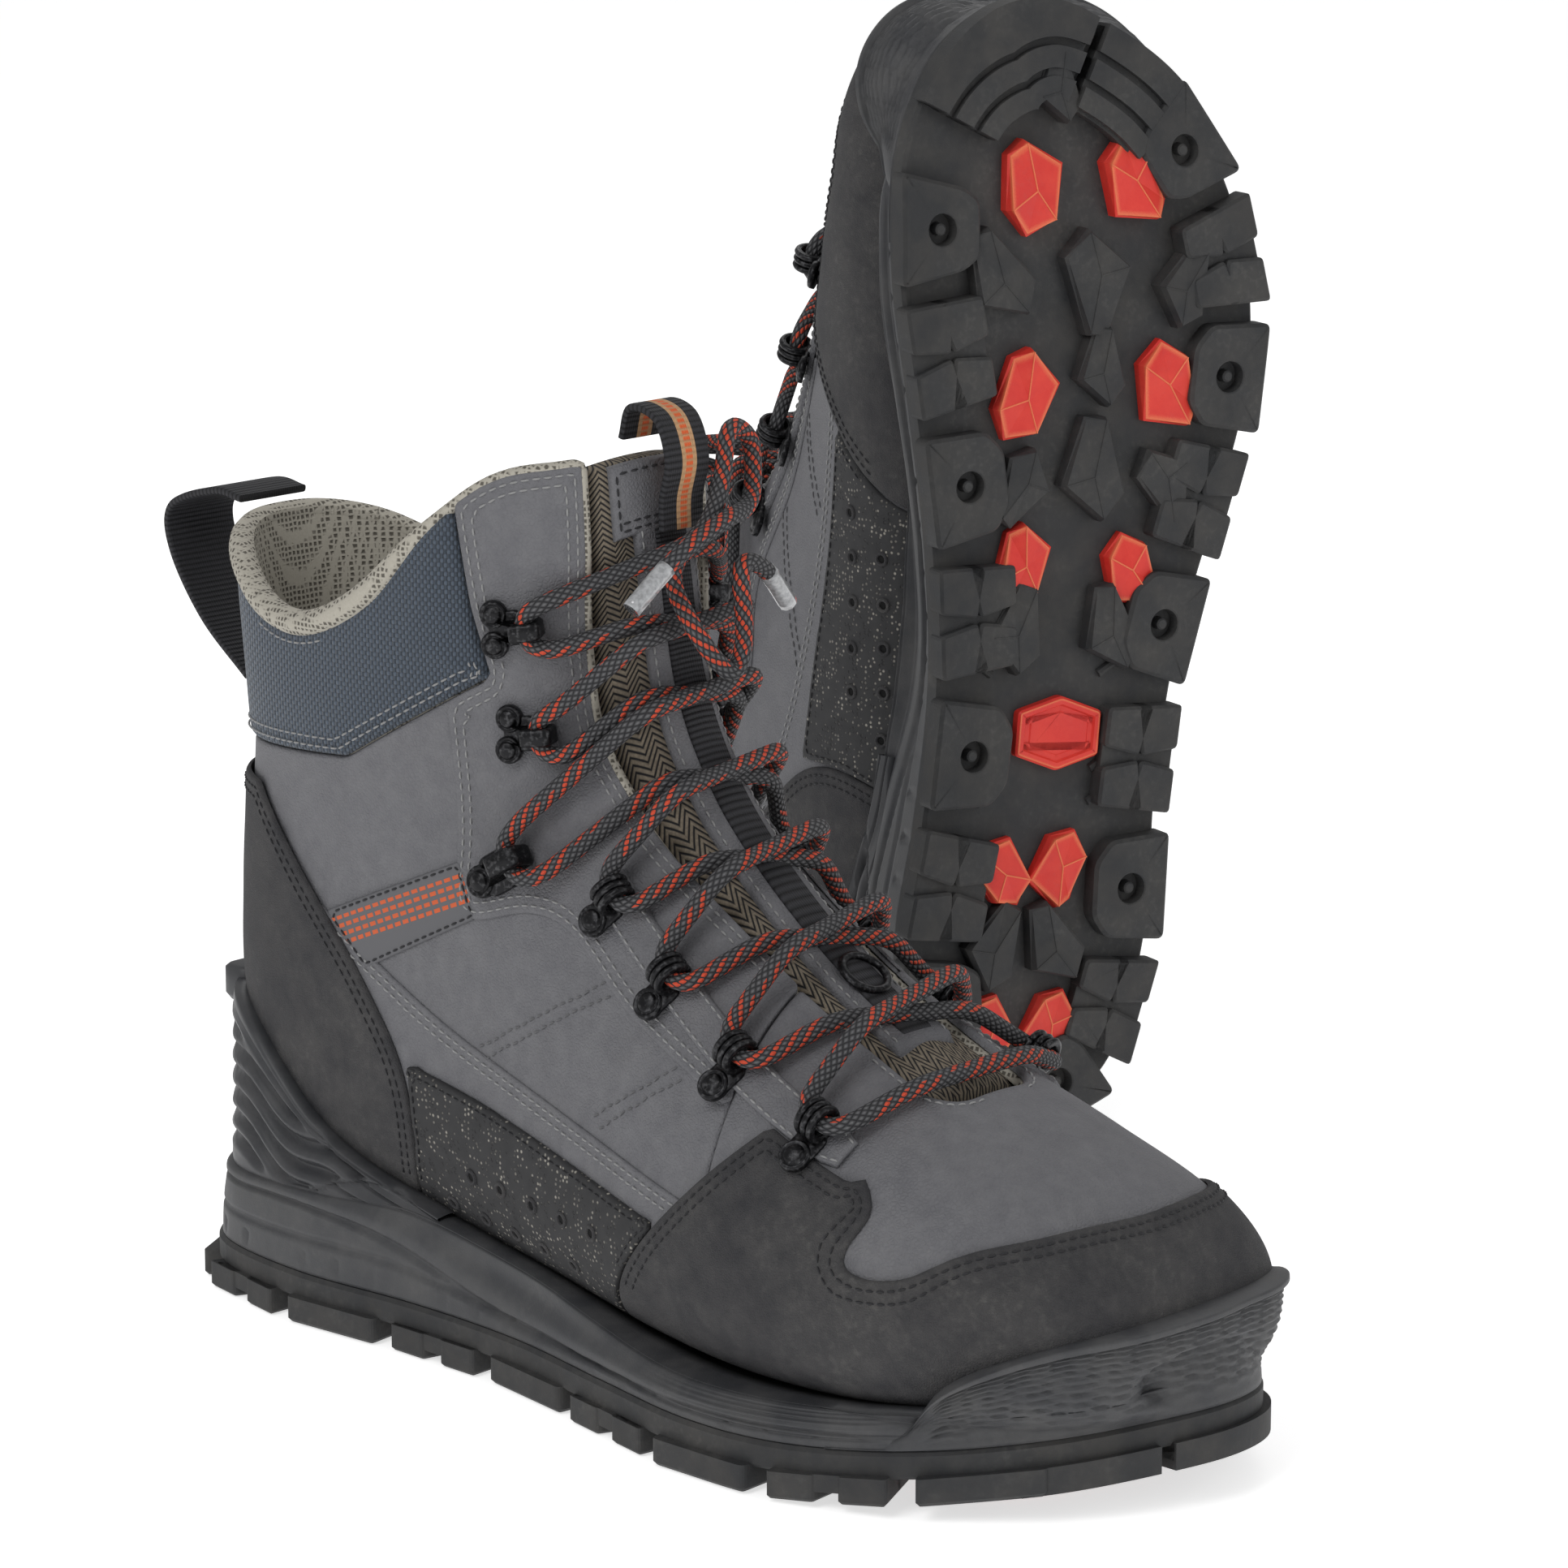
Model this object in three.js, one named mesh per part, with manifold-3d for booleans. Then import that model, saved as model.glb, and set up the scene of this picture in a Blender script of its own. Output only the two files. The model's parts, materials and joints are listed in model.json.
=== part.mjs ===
// A pair of tall lace-up wading boots. The right boot stands on its sole; the left boot lies on its back
// behind it, sole forwards. Millimetres, +Z up, origin under the middle of the pair.
//
// Each boot is drawn once, as the right one, in its own frame: x runs from the back of the heel to the toe,
// +y is the inner side of the foot, z is height above the ground. The left boot is its mirror image.
import * as THREE from "three";
import { mergeVertices } from "three/addons/utils/BufferGeometryUtils.js";
import Module from "manifold-3d";

const wasm = await Module();
wasm.setup();

// ---- Driving dimensions ------------------------------------------------------------------------------
const bootLength = 325; // back of the heel to the tip of the sole
const ballWidth = 119; // sole, across the ball of the foot
const shaftHeight = 236; // ground to the highest point of the collar
const gap = 0.3; // clearance kept between touching pieces

const liningThickness = 2.2;
const upperThickness = 1.8; // vamp and quarters
const overlayThickness = 1.3; // toe, heel and side overlays
const collarThickness = 3.4; // padded textile round the back of the collar
const tonguePadding = 4;
const footbedThickness = 4.5;
const clipThickness = 4.4; // heel clip
const lugHeight = 6;
const soleThickness = 13; // outsole with its lugs
const insertPlate = 1.3; // thickness of the plate that carries the red lugs
const insertInset = 0.8; // red lugs stop this far above the ground
const toeSpring = 11; // lift of the sole at the tip of the toe
const springStart = 225; // where the sole starts to lift
const laceDiameter = 4.6;
const loopBore = 6.8; // opening of a lace loop
const ringRadius = 6.2; // gaiter ring, to the middle of its wire
const ringWire = 1.1;
const webbing = 2; // thickness of the pull loops
const heelLoopReach = 24; // how far the standing boot's heel loop stands off the collar
const foldedLoopReach = 4; // the same on the boot that lies on it

const refLength = 325;
const refBall = 119;
const refShaft = 236;
const ankle = 150; // height above which the shaft alone is stretched
const along = bootLength / refLength;
const across = ballWidth / refBall;
const upward = (shaftHeight - ankle) / (refShaft - ankle);

// ---- The last: the surface that every layer of the upper follows ---------------------------------------
// From toe to collar. Each station has a front (or top) point, a back (or bottom) point, the half widths on
// the outer and inner side, and how far from front to back it is widest.
const stations = [
  { front: [319, 42], back: [316, 32], outer: 14, inner: 24, widest: 0.5 },
  { front: [315, 59], back: [305, 29], outer: 32, inner: 44, widest: 0.55 },
  { front: [301, 74], back: [286, 26], outer: 46, inner: 51, widest: 0.6 },
  { front: [276, 86], back: [258, 23], outer: 54, inner: 52, widest: 0.66 },
  { front: [247, 98], back: [224, 22], outer: 56, inner: 49, widest: 0.68 },
  { front: [219, 113], back: [186, 23], outer: 52, inner: 43, widest: 0.68 },
  { front: [195, 131], back: [140, 26], outer: 44, inner: 38, widest: 0.66 },
  { front: [177, 149], back: [90, 29], outer: 38, inner: 36, widest: 0.62 },
  { front: [166, 166], back: [46, 32], outer: 36, inner: 35, widest: 0.58 },
  { front: [160, 181], back: [19, 48], outer: 35, inner: 35, widest: 0.54 },
  { front: [157, 195], back: [9, 74], outer: 36, inner: 36, widest: 0.5 },
  { front: [155, 208], back: [10, 102], outer: 38, inner: 38, widest: 0.5 },
  { front: [153, 220], back: [14, 130], outer: 41, inner: 40, widest: 0.5 },
  { front: [151, 233], back: [17, 158], outer: 43, inner: 42, widest: 0.5 },
  { front: [149, 246], back: [15, 188], outer: 45, inner: 44, widest: 0.5 },
  { front: [147, 262], back: [9, 224], outer: 47, inner: 46, widest: 0.5 },
];
const lastStation = stations.length - 1;
const heelStation = 9; // from here up the section is round, and not flattened under the foot

const stretch = (z) => (z > ankle ? ankle + (z - ankle) * upward : z);
const smoothstep = (t) => {
  const c = Math.min(Math.max(t, 0), 1);
  return c * c * (3 - 2 * c);
};

// A value of the stations at a place u between them, on a Catmull-Rom curve.
function stationValue(read, u) {
  const i = Math.min(Math.floor(u), lastStation - 1);
  const f = u - i;
  const at = (k) => {
    if (k < 0) return 2 * read(stations[0]) - read(stations[1]);
    if (k > lastStation) return 2 * read(stations[lastStation]) - read(stations[lastStation - 1]);
    return read(stations[k]);
  };
  const [a, b, c, d] = [at(i - 1), at(i), at(i + 1), at(i + 2)];
  return 0.5 * (2 * b + (c - a) * f + (2 * a - 5 * b + 4 * c - d) * f ** 2 + (3 * (b - c) + d - a) * f ** 3);
}

// A point of the last: u counts stations; angle is in degrees from the front, positive to the outer side.
function lastPoint(u, angle) {
  const value = (read) => stationValue(read, u);
  const rad = THREE.MathUtils.degToRad(angle);
  const c = Math.abs(Math.cos(rad));
  const onTop = Math.cos(rad) >= 0;
  const widest = value((s) => s.widest);
  const down = onTop ? widest * (1 - c) : widest + (1 - widest) * c;
  const flat = smoothstep((heelStation - u) / 5);
  const power = onTop ? 0.9 : 0.9 - 0.45 * flat;
  const half = value(Math.sin(rad) >= 0 ? (s) => s.outer : (s) => s.inner);
  const front = [value((s) => s.front[0]), value((s) => stretch(s.front[1]))];
  const back = [value((s) => s.back[0]), value((s) => stretch(s.back[1]))];
  return new THREE.Vector3(
    (front[0] + (back[0] - front[0]) * down) * along,
    -Math.sign(Math.sin(rad)) * half * Math.abs(Math.sin(rad)) ** power * across,
    front[1] + (back[1] - front[1]) * down,
  );
}

// The outward direction there, with the two directions along the surface: towards the front, and up the boot.
function lastFrame(u, angle) {
  const du = 0.02;
  const da = 0.5;
  const up = lastPoint(Math.min(u + du, lastStation), angle).sub(lastPoint(Math.max(u - du, 0), angle));
  const round = lastPoint(u, angle + da).sub(lastPoint(u, angle - da));
  const out = new THREE.Vector3().crossVectors(round, up).normalize();
  const centre = lastPoint(u, 0).add(lastPoint(u, 180)).multiplyScalar(0.5);
  if (out.dot(lastPoint(u, angle).sub(centre)) < 0) out.negate();
  const rise = up.addScaledVector(out, -up.dot(out)).normalize();
  const forward = round.multiplyScalar(angle > 0 ? -1 : 1);
  forward.addScaledVector(out, -forward.dot(out)).addScaledVector(rise, -forward.dot(rise)).normalize();
  return { out, forward, rise };
}

const onLast = (u, angle, lift) => lastPoint(u, angle).addScaledVector(lastFrame(u, angle).out, lift);

// ---- Solids --------------------------------------------------------------------------------------------
function solidFrom(geometry) {
  const plain = new THREE.BufferGeometry();
  plain.setAttribute("position", geometry.getAttribute("position"));
  plain.setIndex(geometry.index);
  const merged = mergeVertices(plain, 1e-4);
  const vertProperties = new Float32Array(merged.attributes.position.array);
  const triVerts = new Uint32Array(merged.index.array);
  const made = new wasm.Manifold(new wasm.Mesh({ numProp: 3, vertProperties, triVerts }));
  if (made.volume() >= 0) return made;
  for (let i = 0; i < triVerts.length; i += 3) {
    [triVerts[i + 1], triVerts[i + 2]] = [triVerts[i + 2], triVerts[i + 1]];
  }
  return new wasm.Manifold(new wasm.Mesh({ numProp: 3, vertProperties, triVerts }));
}

function geometryFrom(solid) {
  const mesh = solid.getMesh();
  const geometry = new THREE.BufferGeometry();
  geometry.setAttribute("position", new THREE.BufferAttribute(mesh.vertProperties, 3));
  geometry.setIndex(new THREE.BufferAttribute(mesh.triVerts, 1));
  geometry.computeVertexNormals();
  return geometry;
}

// The largest of the pieces a cut leaves, without its crumbs.
function mainPiece(solid) {
  return solid.decompose().sort((a, b) => b.volume() - a.volume())[0];
}

const join = (solids) => solids.reduce((sum, solid) => sum.add(solid));

// A grid of points closed round one way and capped by a fan at each end.
function skinnedSolid(rings, startCap, endCap) {
  const size = rings[0].length;
  const points = [...rings.flat(), startCap, endCap];
  const index = [];
  const start = points.length - 2;
  const end = points.length - 1;
  for (let j = 0; j < size; j++) {
    const next = (j + 1) % size;
    index.push(start, next, j);
    for (let i = 0; i + 1 < rings.length; i++) {
      const [a, b] = [i * size + j, i * size + next];
      index.push(a, b, b + size, a, b + size, a + size);
    }
    const tail = (rings.length - 1) * size;
    index.push(end, tail + j, tail + next);
  }
  const geometry = new THREE.BufferGeometry().setFromPoints(points);
  geometry.setIndex(index);
  return solidFrom(geometry);
}

// The whole last, grown by lift: the toe is closed, and the top lies above the collar.
const ringsAlong = 12;
const ringSides = 14;
function lastSolid(lift) {
  const rings = [];
  for (let i = 0; i <= ringsAlong; i++) {
    const u = (i / ringsAlong) * lastStation;
    const ring = [];
    for (let j = 0; j < ringSides; j++) ring.push(onLast(u, (360 / ringSides) * (j + 0.5), lift));
    rings.push(ring);
  }
  const toe = lastPoint(0, 0).add(lastPoint(0, 180)).multiplyScalar(0.5);
  toe.x += lift + 1.5;
  const top = lastPoint(lastStation, 0).add(lastPoint(lastStation, 180)).multiplyScalar(0.5);
  return skinnedSolid(rings, toe, top);
}

const shell = (inner, outer) => lastSolid(outer).subtract(lastSolid(inner));

const toPoints = (list) => list.map(([a, b]) => new THREE.Vector2(a, b));
const smoothOutline = (list, steps) => new THREE.SplineCurve(toPoints(list)).getPoints(steps);

function extruded(points, depth) {
  return new THREE.ExtrudeGeometry(new THREE.Shape(points), { depth, bevelEnabled: false, steps: 1 });
}

// A block whose side view is the outline (x, z), between two values of y.
function sideBlock(outline, from, to) {
  const points = outline.map((p) => new THREE.Vector2(p.x * along, stretch(p.y)));
  const geometry = extruded(points, to - from);
  geometry.rotateX(Math.PI / 2).translate(0, to, 0);
  return solidFrom(geometry);
}

// A block whose plan is the outline (x, y), between two heights.
function planBlock(outline, from, to) {
  return solidFrom(extruded(outline, to - from).translate(0, 0, from));
}

const farOut = 120; // further out than any piece, for cutters
const outerSide = (outline) => sideBlock(outline, -farOut, -gap / 2);
const innerSide = (outline) => sideBlock(outline, gap / 2, farOut);
const bothSides = (outline) => sideBlock(outline, -farOut, farOut);

// A strip lying on the last at one angle: it is width wide, and fills the layer between two lifts.
function strip(from, to, steps, angle, width, inner, outer) {
  const rings = [];
  for (let i = 0; i <= steps; i++) {
    const u = from + ((to - from) * i) / steps;
    const span = lastPoint(u, angle + 2).distanceTo(lastPoint(u, angle - 2)) / 4;
    const half = width / 2 / span;
    const corners = [
      [angle - half, inner],
      [angle - half, outer],
      [angle, outer],
      [angle + half, outer],
      [angle + half, inner],
      [angle, inner],
    ];
    rings.push(corners.map(([a, lift]) => onLast(u, a, lift)));
  }
  const middle = (ring) => ring.reduce((s, p) => s.add(p), new THREE.Vector3()).divideScalar(ring.length);
  return skinnedSolid(rings, middle(rings[0]), middle(rings[steps]));
}

// ---- Outlines ------------------------------------------------------------------------------------------
// Top edge of the upper seen from the side: high at the back, low behind the ankle, highest at the front.
const collarLine = [
  [-20, 207], [4, 207], [22, 202], [45, 191], [66, 189], [88, 199], [108, 218], [126, 232], [142, 236],
];
const belowCollar = [
  ...smoothOutline(collarLine, 16),
  ...toPoints([[190, 230], [400, 150], [400, -20], [-20, -20]]),
];
// Textile panel round the back of the collar, down to a soft V behind the ankle.
const collarPanel = toPoints([
  [-30, 152], [20, 151], [60, 154], [76, 155], [92, 164], [122, 181], [119, 200], [115, 240], [-30, 240],
]);
const toeSeam = 214; // where the vamp meets the quarters, hidden by the toe overlay
const vampArea = toPoints([[toeSeam, 160], [toeSeam, -20], [400, -20], [400, 160]]);
const quarterArea = toPoints([
  [toeSeam - gap, 160], [toeSeam - gap, -20], [-40, -20], [-40, 300], [190, 300],
]);
const toeOverlayArea = [
  ...smoothOutline([[172, 12], [180, 34], [195, 53], [213, 71], [228, 85], [240, 98]], 8),
  ...toPoints([[262, 100], [400, 100], [400, 12]]),
];
// The window that the toe overlay leaves open over the vamp, from above.
const toeWindow = smoothOutline(
  [[150, -36], [234, -36], [262, -44], [258, -54], [268, -60], [282, -47], [300, -28], [307, 0], [301, 32],
    [280, 48], [262, 46], [234, 34], [150, 34]],
  18,
);
const heelOverlayArea = [
  ...smoothOutline([[70, 12], [88, 34], [96, 56], [93, 76], [78, 96], [58, 118], [38, 142]], 10),
  ...toPoints([[-40, 142], [-40, 12]]),
];
const sidePanelArea = [
  ...smoothOutline([[96.6, 76.5], [130, 71], [165, 64], [199, 57.6]], 5),
  ...smoothOutline([[194, 52.3], [179, 34], [171, 12]], 4),
  ...smoothOutline([[71, 12], [89, 34], [97, 56]], 4),
];
// Upper edge of the midsole, and the toe bumper that stands in front of it.
const midsoleArea = [
  ...smoothOutline(
    [[-30, 34], [40, 35], [90, 37], [125, 33], [165, 28], [205, 24], [250, 25], [290, 29]],
    14,
  ),
  ...toPoints([[400, 40], [400, -20], [-30, -20]]),
];
const bumperArea = [
  ...smoothOutline([[250, 20], [272, 27], [288, 38], [306, 46], [330, 50]], 7),
  ...toPoints([[360, 52], [360, -20], [268, -20]]),
];
const clipArea = [
  ...smoothOutline([[-30, 80], [8, 80], [28, 74], [52, 56], [76, 46], [108, 40]], 8),
  ...toPoints([[104, 35], [88, 37.6], [40, 35.6], [-30, 34.6]]),
];

// Plan of the sole: round heel, waist at the arch, wide across the ball, toe turned inwards.
const solePlan = [
  [0, 0], [5, -20], [22, -36], [58, -43], [100, -42], [140, -45], [180, -54], [215, -61], [250, -59],
  [282, -47], [306, -27], [320, -3], [325, 15], [320, 33], [304, 49], [278, 58], [245, 57], [210, 49],
  [170, 40], [130, 35], [90, 36], [55, 39], [22, 34], [5, 18],
].map(([x, y]) => new THREE.Vector3(x * along, y * across, 0));
const soleCurve = new THREE.CatmullRomCurve3(solePlan, true);

// A point of the plan moved inwards, with its outward direction.
function soleEdge(t, inset) {
  const place = soleCurve.getPointAt(((t % 1) + 1) % 1);
  const run = soleCurve.getTangentAt(((t % 1) + 1) % 1);
  const out = new THREE.Vector2(-run.y, run.x).multiplyScalar(soleOutwards);
  return { place: new THREE.Vector2(place.x, place.y).addScaledVector(out, -inset), out };
}
const soleOutwards = soleCurve.getTangentAt(0).y < 0 ? -1 : 1;

function soleOutline(inset, count) {
  return Array.from({ length: count }, (_, i) => soleEdge(i / count, inset).place);
}

// Every layer of the sole is a block between two heights that bends up at the toe.
function soleLayer(outline, low, high) {
  const steps = 4;
  const bend = Array.from({ length: steps + 1 }, (_, i) => {
    const f = (i / steps) * 1.1;
    return new THREE.Vector2(springStart + f * (refLength - springStart), toeSpring * f ** 1.8);
  });
  const flatEnd = new THREE.Vector2(-40, 0);
  const lower = [flatEnd, ...bend].map((p) => new THREE.Vector2(p.x, p.y + low));
  const upper = [flatEnd, ...bend].map((p) => new THREE.Vector2(p.x, p.y + high)).reverse();
  return bothSides([...lower, ...upper]).intersect(planBlock(outline, -20, 140));
}

// ---- Sole ----------------------------------------------------------------------------------------------
const edgeLugs = 20;
const edgeLugLength = 19; // measured in from the edge
const edgeLugProud = 2; // lugs stand out past the wall

function lugBlock(centre, angle, outline, from, to) {
  const turn = (p) => p.clone().rotateAround(new THREE.Vector2(), angle).add(centre);
  return soleLayer(outline.map(turn), from, to);
}

// Red lugs of the insert: a five-sided block pointing to its narrow end. Place, direction in degrees, size.
const redLugs = [
  [281, -16, 12, 1.05], [276, 22, 168, 1.1], [219, -31, 8, 1.1], [214, 16, 150, 1.1], [165, -24, 14, 0.95],
  [166, 12, 158, 0.95], [78, -9, -28, 0.95], [76, 10, 208, 0.95], [31, -10, -28, 0.9], [30, 10, 208, 0.9],
];
const redLugOutline = toPoints([[-12, -6], [-7, -9.5], [7, -6.5], [12, 1], [6, 8], [-9, 7]]);
const plaqueOutline = toPoints([[-11, 0], [-6.5, -14], [6.5, -14], [11, 0], [6.5, 14], [-6.5, 14]]);
const plaquePlace = new THREE.Vector2(117 * along, -5 * across);
const plaqueInset = 2; // the plaque stops this much further above the ground than the red lugs
const redLugHalf = 8; // half widths, for clearances round them
const plaqueHalf = 9;

function insertBlocks(grow, from, to) {
  const lugs = redLugs.map(([x, y, turn, size]) => {
    const outline = redLugOutline.map((p) => p.clone().multiplyScalar(size + grow / redLugHalf));
    const centre = new THREE.Vector2(x * along, y * across);
    return lugBlock(centre, THREE.MathUtils.degToRad(turn), outline, from, to);
  });
  const plaqueGrown = plaqueOutline.map((p) => p.clone().multiplyScalar(1 + grow / plaqueHalf));
  const plaque = lugBlock(plaquePlace, 0, plaqueGrown, from + plaqueInset, to);
  return [...lugs, plaque];
}

// Black lugs down the middle of the sole: kite shapes that point forwards.
const middleLugs = [
  [300, 10, 0], [250, -4, 180], [244, 33, 20], [192, -6, 0], [194, -38, -150], [146, -20, 10], [146, 14, -10],
  [52, -8, 20], [50, 14, -20],
];
const kiteOutline = toPoints([[-9, -3], [-3, -8], [12, -2], [12, 3], [-2, 7]]);

function edgeLug(i) {
  const t = (i + 0.5) / edgeLugs;
  const { place, out } = soleEdge(t, edgeLugLength / 2 - edgeLugProud);
  const half = (soleCurve.getLength() / edgeLugs) * 0.36;
  const outline = toPoints([
    [-edgeLugLength / 2, -half * 0.75], [edgeLugLength / 2, -half], [edgeLugLength / 2, half],
    [-edgeLugLength / 2, half * 0.75],
  ]);
  return lugBlock(place, out.angle(), outline, 0, lugHeight + 1);
}

function outsole() {
  const plate = soleLayer(soleOutline(0, 44), lugHeight, soleThickness);
  const edge = Array.from({ length: edgeLugs }, (_, i) => edgeLug(i));
  const middle = middleLugs.map(([x, y, turn]) => {
    const centre = new THREE.Vector2(x * along, y * across);
    return lugBlock(centre, THREE.MathUtils.degToRad(turn), kiteOutline, 0, lugHeight + 1);
  });
  const holes = join(insertBlocks(gap * 1.5, -1, soleThickness + 1));
  return mainPiece(join([plate, ...edge, ...middle]).subtract(holes));
}

const insertTop = soleThickness + gap + insertPlate;
const plateInset = 11; // the plate stops this far inside the edge of the sole

function lugInserts() {
  const plate = soleLayer(soleOutline(plateInset, 24), soleThickness + gap, insertTop);
  return join([plate, ...insertBlocks(0, insertInset, insertTop - 0.5)]);
}

const overlayTop = upperThickness + gap + overlayThickness;
const footSpace = lastSolid(overlayTop + gap); // what the midsole, clip and bumper leave free for the upper

const shankSize = [108, 20, 1.6];
const shankPlace = [66, 0, 17];

function shankBlock(grow, rise) {
  const [l, w, h] = shankSize;
  const geometry = new THREE.BoxGeometry(l * along + 2 * grow, w + 2 * grow, h + 2 * grow + rise);
  geometry.translate((shankPlace[0] + l / 2) * along, shankPlace[1], shankPlace[2] + h / 2 + rise / 2);
  return solidFrom(geometry);
}

// Everything round the foot between the outsole and the upper, before it is divided.
const foxing = soleLayer(soleOutline(1, 44), soleThickness + gap, 70).subtract(footSpace);

const bumperDepth = 7; // the bumper is this thick in front of the toe
function bumperZone(grow) {
  const front = bothSides(bumperArea.map((p) => new THREE.Vector2(p.x - grow, p.y + grow)));
  return front.subtract(planBlock(soleOutline(bumperDepth + 1 + grow, 30), -40, 120));
}

function midsole() {
  const pocket = soleLayer(soleOutline(plateInset - gap, 24), 0, insertTop + gap);
  const body = foxing.intersect(bothSides(midsoleArea));
  return mainPiece(body.subtract(join([pocket, shankBlock(gap, 12), bumperZone(gap)])));
}

const toeBumper = () => mainPiece(foxing.intersect(bumperZone(0)));

const ledge = toPoints([[-1.5, 73], [-1.5, 80], [9, 82], [9, 70]]);
const ledgeWidth = 30;

function heelClip() {
  const wall = lastSolid(overlayTop + gap + clipThickness);
  const body = wall.intersect(bothSides(clipArea)).add(sideBlock(ledge, -ledgeWidth / 2, ledgeWidth / 2));
  const rim = bothSides(midsoleArea.map((p) => new THREE.Vector2(p.x, p.y + gap)));
  return mainPiece(body.subtract(join([footSpace, rim])));
}

// ---- Upper ---------------------------------------------------------------------------------------------
// The board under the foot takes the place of the upper there.
const boardInset = 12;
const underFoot = (inset) => planBlock(soleOutline(inset, 16), 0, 42);

// The lacing gap: from the throat of the vamp to the top of the collar, a little wider towards the top.
const throat = 3.5; // station where the lacing gap starts
const gapHalf = (u) => 17 + 4 * smoothstep((u - throat) / 8);

function lacingGap(grow, inner, from, to) {
  const steps = 6;
  const rings = [];
  for (let i = 0; i <= steps; i++) {
    const u = from + ((to - from) * i) / steps;
    const { out } = lastFrame(u, 0);
    const half = gapHalf(u) + grow;
    const corner = (y, lift) => lastPoint(u, 0).addScaledVector(out, lift).setY(y);
    rings.push([corner(-half, inner), corner(half, inner), corner(half, 30), corner(-half, 30)]);
  }
  const middle = (ring) => ring.reduce((s, p) => s.add(p), new THREE.Vector3()).divideScalar(ring.length);
  return skinnedSolid(rings, middle(rings[0]), middle(rings[steps]));
}

const openShell = (inner, outer) =>
  shell(inner, outer).intersect(bothSides(belowCollar)).subtract(lacingGap(0, -22, throat, lastStation));
const upperLayer = openShell(0, upperThickness);
const overlayLayer = shell(upperThickness + gap, overlayTop);

const lining = () => mainPiece(openShell(-gap - liningThickness, -gap));

const vamp = () =>
  mainPiece(upperLayer.subtract(underFoot(boardInset - gap)).intersect(bothSides(vampArea)));

function quarter(halfOf) {
  const cloth = bothSides(collarPanel.map((p) => new THREE.Vector2(p.x + gap, p.y - gap)));
  const side = upperLayer.subtract(underFoot(boardInset - gap)).intersect(halfOf(quarterArea));
  return mainPiece(side.subtract(cloth));
}

function collarFabric() {
  const padded = shell(0, collarThickness).intersect(bothSides(belowCollar));
  return mainPiece(padded.intersect(bothSides(collarPanel)));
}

const insoleBoard = () =>
  mainPiece(upperLayer.intersect(underFoot(boardInset)).intersect(bothSides(midsoleArea)));

function footbed() {
  const inside = lastSolid(-gap * 2 - liningThickness);
  const heelToToe = toPoints([[-20, 46], [60, 42], [330, 42], [330, 0], [-20, 0]]);
  return mainPiece(inside.subtract(inside.translate(0, 0, footbedThickness)).intersect(bothSides(heelToToe)));
}

// Loop strips keep a lane free in the toe overlay.
const loopStations = [4.05, 5.0, 5.95, 6.95];
const loopAngle = 43;
const stripWidth = 10;
const stripEnds = [3.75, 7.2];
const stripLane = (side) =>
  strip(stripEnds[0] - 0.1, stripEnds[1], 4, side * loopAngle, stripWidth + 2 * gap, 0, overlayTop + 3);

function toeOverlay() {
  return mainPiece(
    overlayLayer
      .intersect(bothSides(toeOverlayArea))
      .subtract(planBlock(toeWindow.map((p) => new THREE.Vector2(p.x * along, p.y * across)), 30, 200))
      .subtract(underFoot(boardInset + 2))
      .subtract(stripLane(1))
      .subtract(stripLane(-1)),
  );
}

const heelOverlay = () =>
  mainPiece(overlayLayer.intersect(bothSides(heelOverlayArea)).subtract(underFoot(boardInset + 2)));

const sidePanel = (halfOf) =>
  mainPiece(overlayLayer.intersect(halfOf(sidePanelArea)).subtract(underFoot(boardInset + 2)));

// The tongue fills the lacing gap and spreads inside the lining on both sides.
const tongueTop = toPoints([[100, 20], [400, 20], [400, 200], [220, 238], [100, 238]]);
const tongueWing = 9;
const tongueFace = -0.6; // the tongue stops this far short of the last
function tongue() {
  const inner = -2 * gap - liningThickness;
  const [back, depth] = [inner - tonguePadding, -26];
  const face = shell(back, tongueFace).intersect(lacingGap(-2 * gap, depth, throat + 0.12, lastStation));
  const wings = shell(back, inner).intersect(lacingGap(tongueWing, depth, throat + 0.5, lastStation));
  return mainPiece(face.add(wings).intersect(bothSides(tongueTop)));
}

// ---- Webbing pull loops --------------------------------------------------------------------------------
function band(path, width, steps) {
  const curve = new THREE.CatmullRomCurve3(path.map(([x, z]) => new THREE.Vector3(x * along, 0, stretch(z))));
  const [w, t] = [width / 2, webbing / 2];
  const section = toPoints([[-w, -t], [w, -t], [w, t], [-w, t]]);
  const rings = [];
  for (let i = 0; i <= steps; i++) {
    const at = curve.getPointAt(i / steps);
    const run = curve.getTangentAt(i / steps);
    const side = new THREE.Vector3(run.z, 0, -run.x);
    rings.push(section.map((p) => at.clone().addScaledVector(side, p.y).setY(p.x)));
  }
  const middle = (ring) => ring.reduce((s, p) => s.add(p), new THREE.Vector3()).divideScalar(ring.length);
  return skinnedSolid(rings, middle(rings[0]), middle(rings[steps]));
}

// A C of webbing behind the collar: its ends are sewn to the collar's top and its back.
const heelLoopRoot = 9; // where its ends lie against the collar
const heelLoopStand = 6;
const heelLoopWidth = 24;
function heelPullLoop(reach) {
  const root = heelLoopRoot;
  const back = root - heelLoopStand - reach;
  const folded = heelLoopReach - reach;
  return band(
    [
      [root - 2, 210], [root - 8 - reach * 0.2, 211 + folded * 0.5], [back, 205 + folded * 0.3], [back, 193],
      [root - 5 - reach * 0.55, 176], [root - 1, 162],
    ],
    heelLoopWidth,
    10,
  );
}

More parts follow.
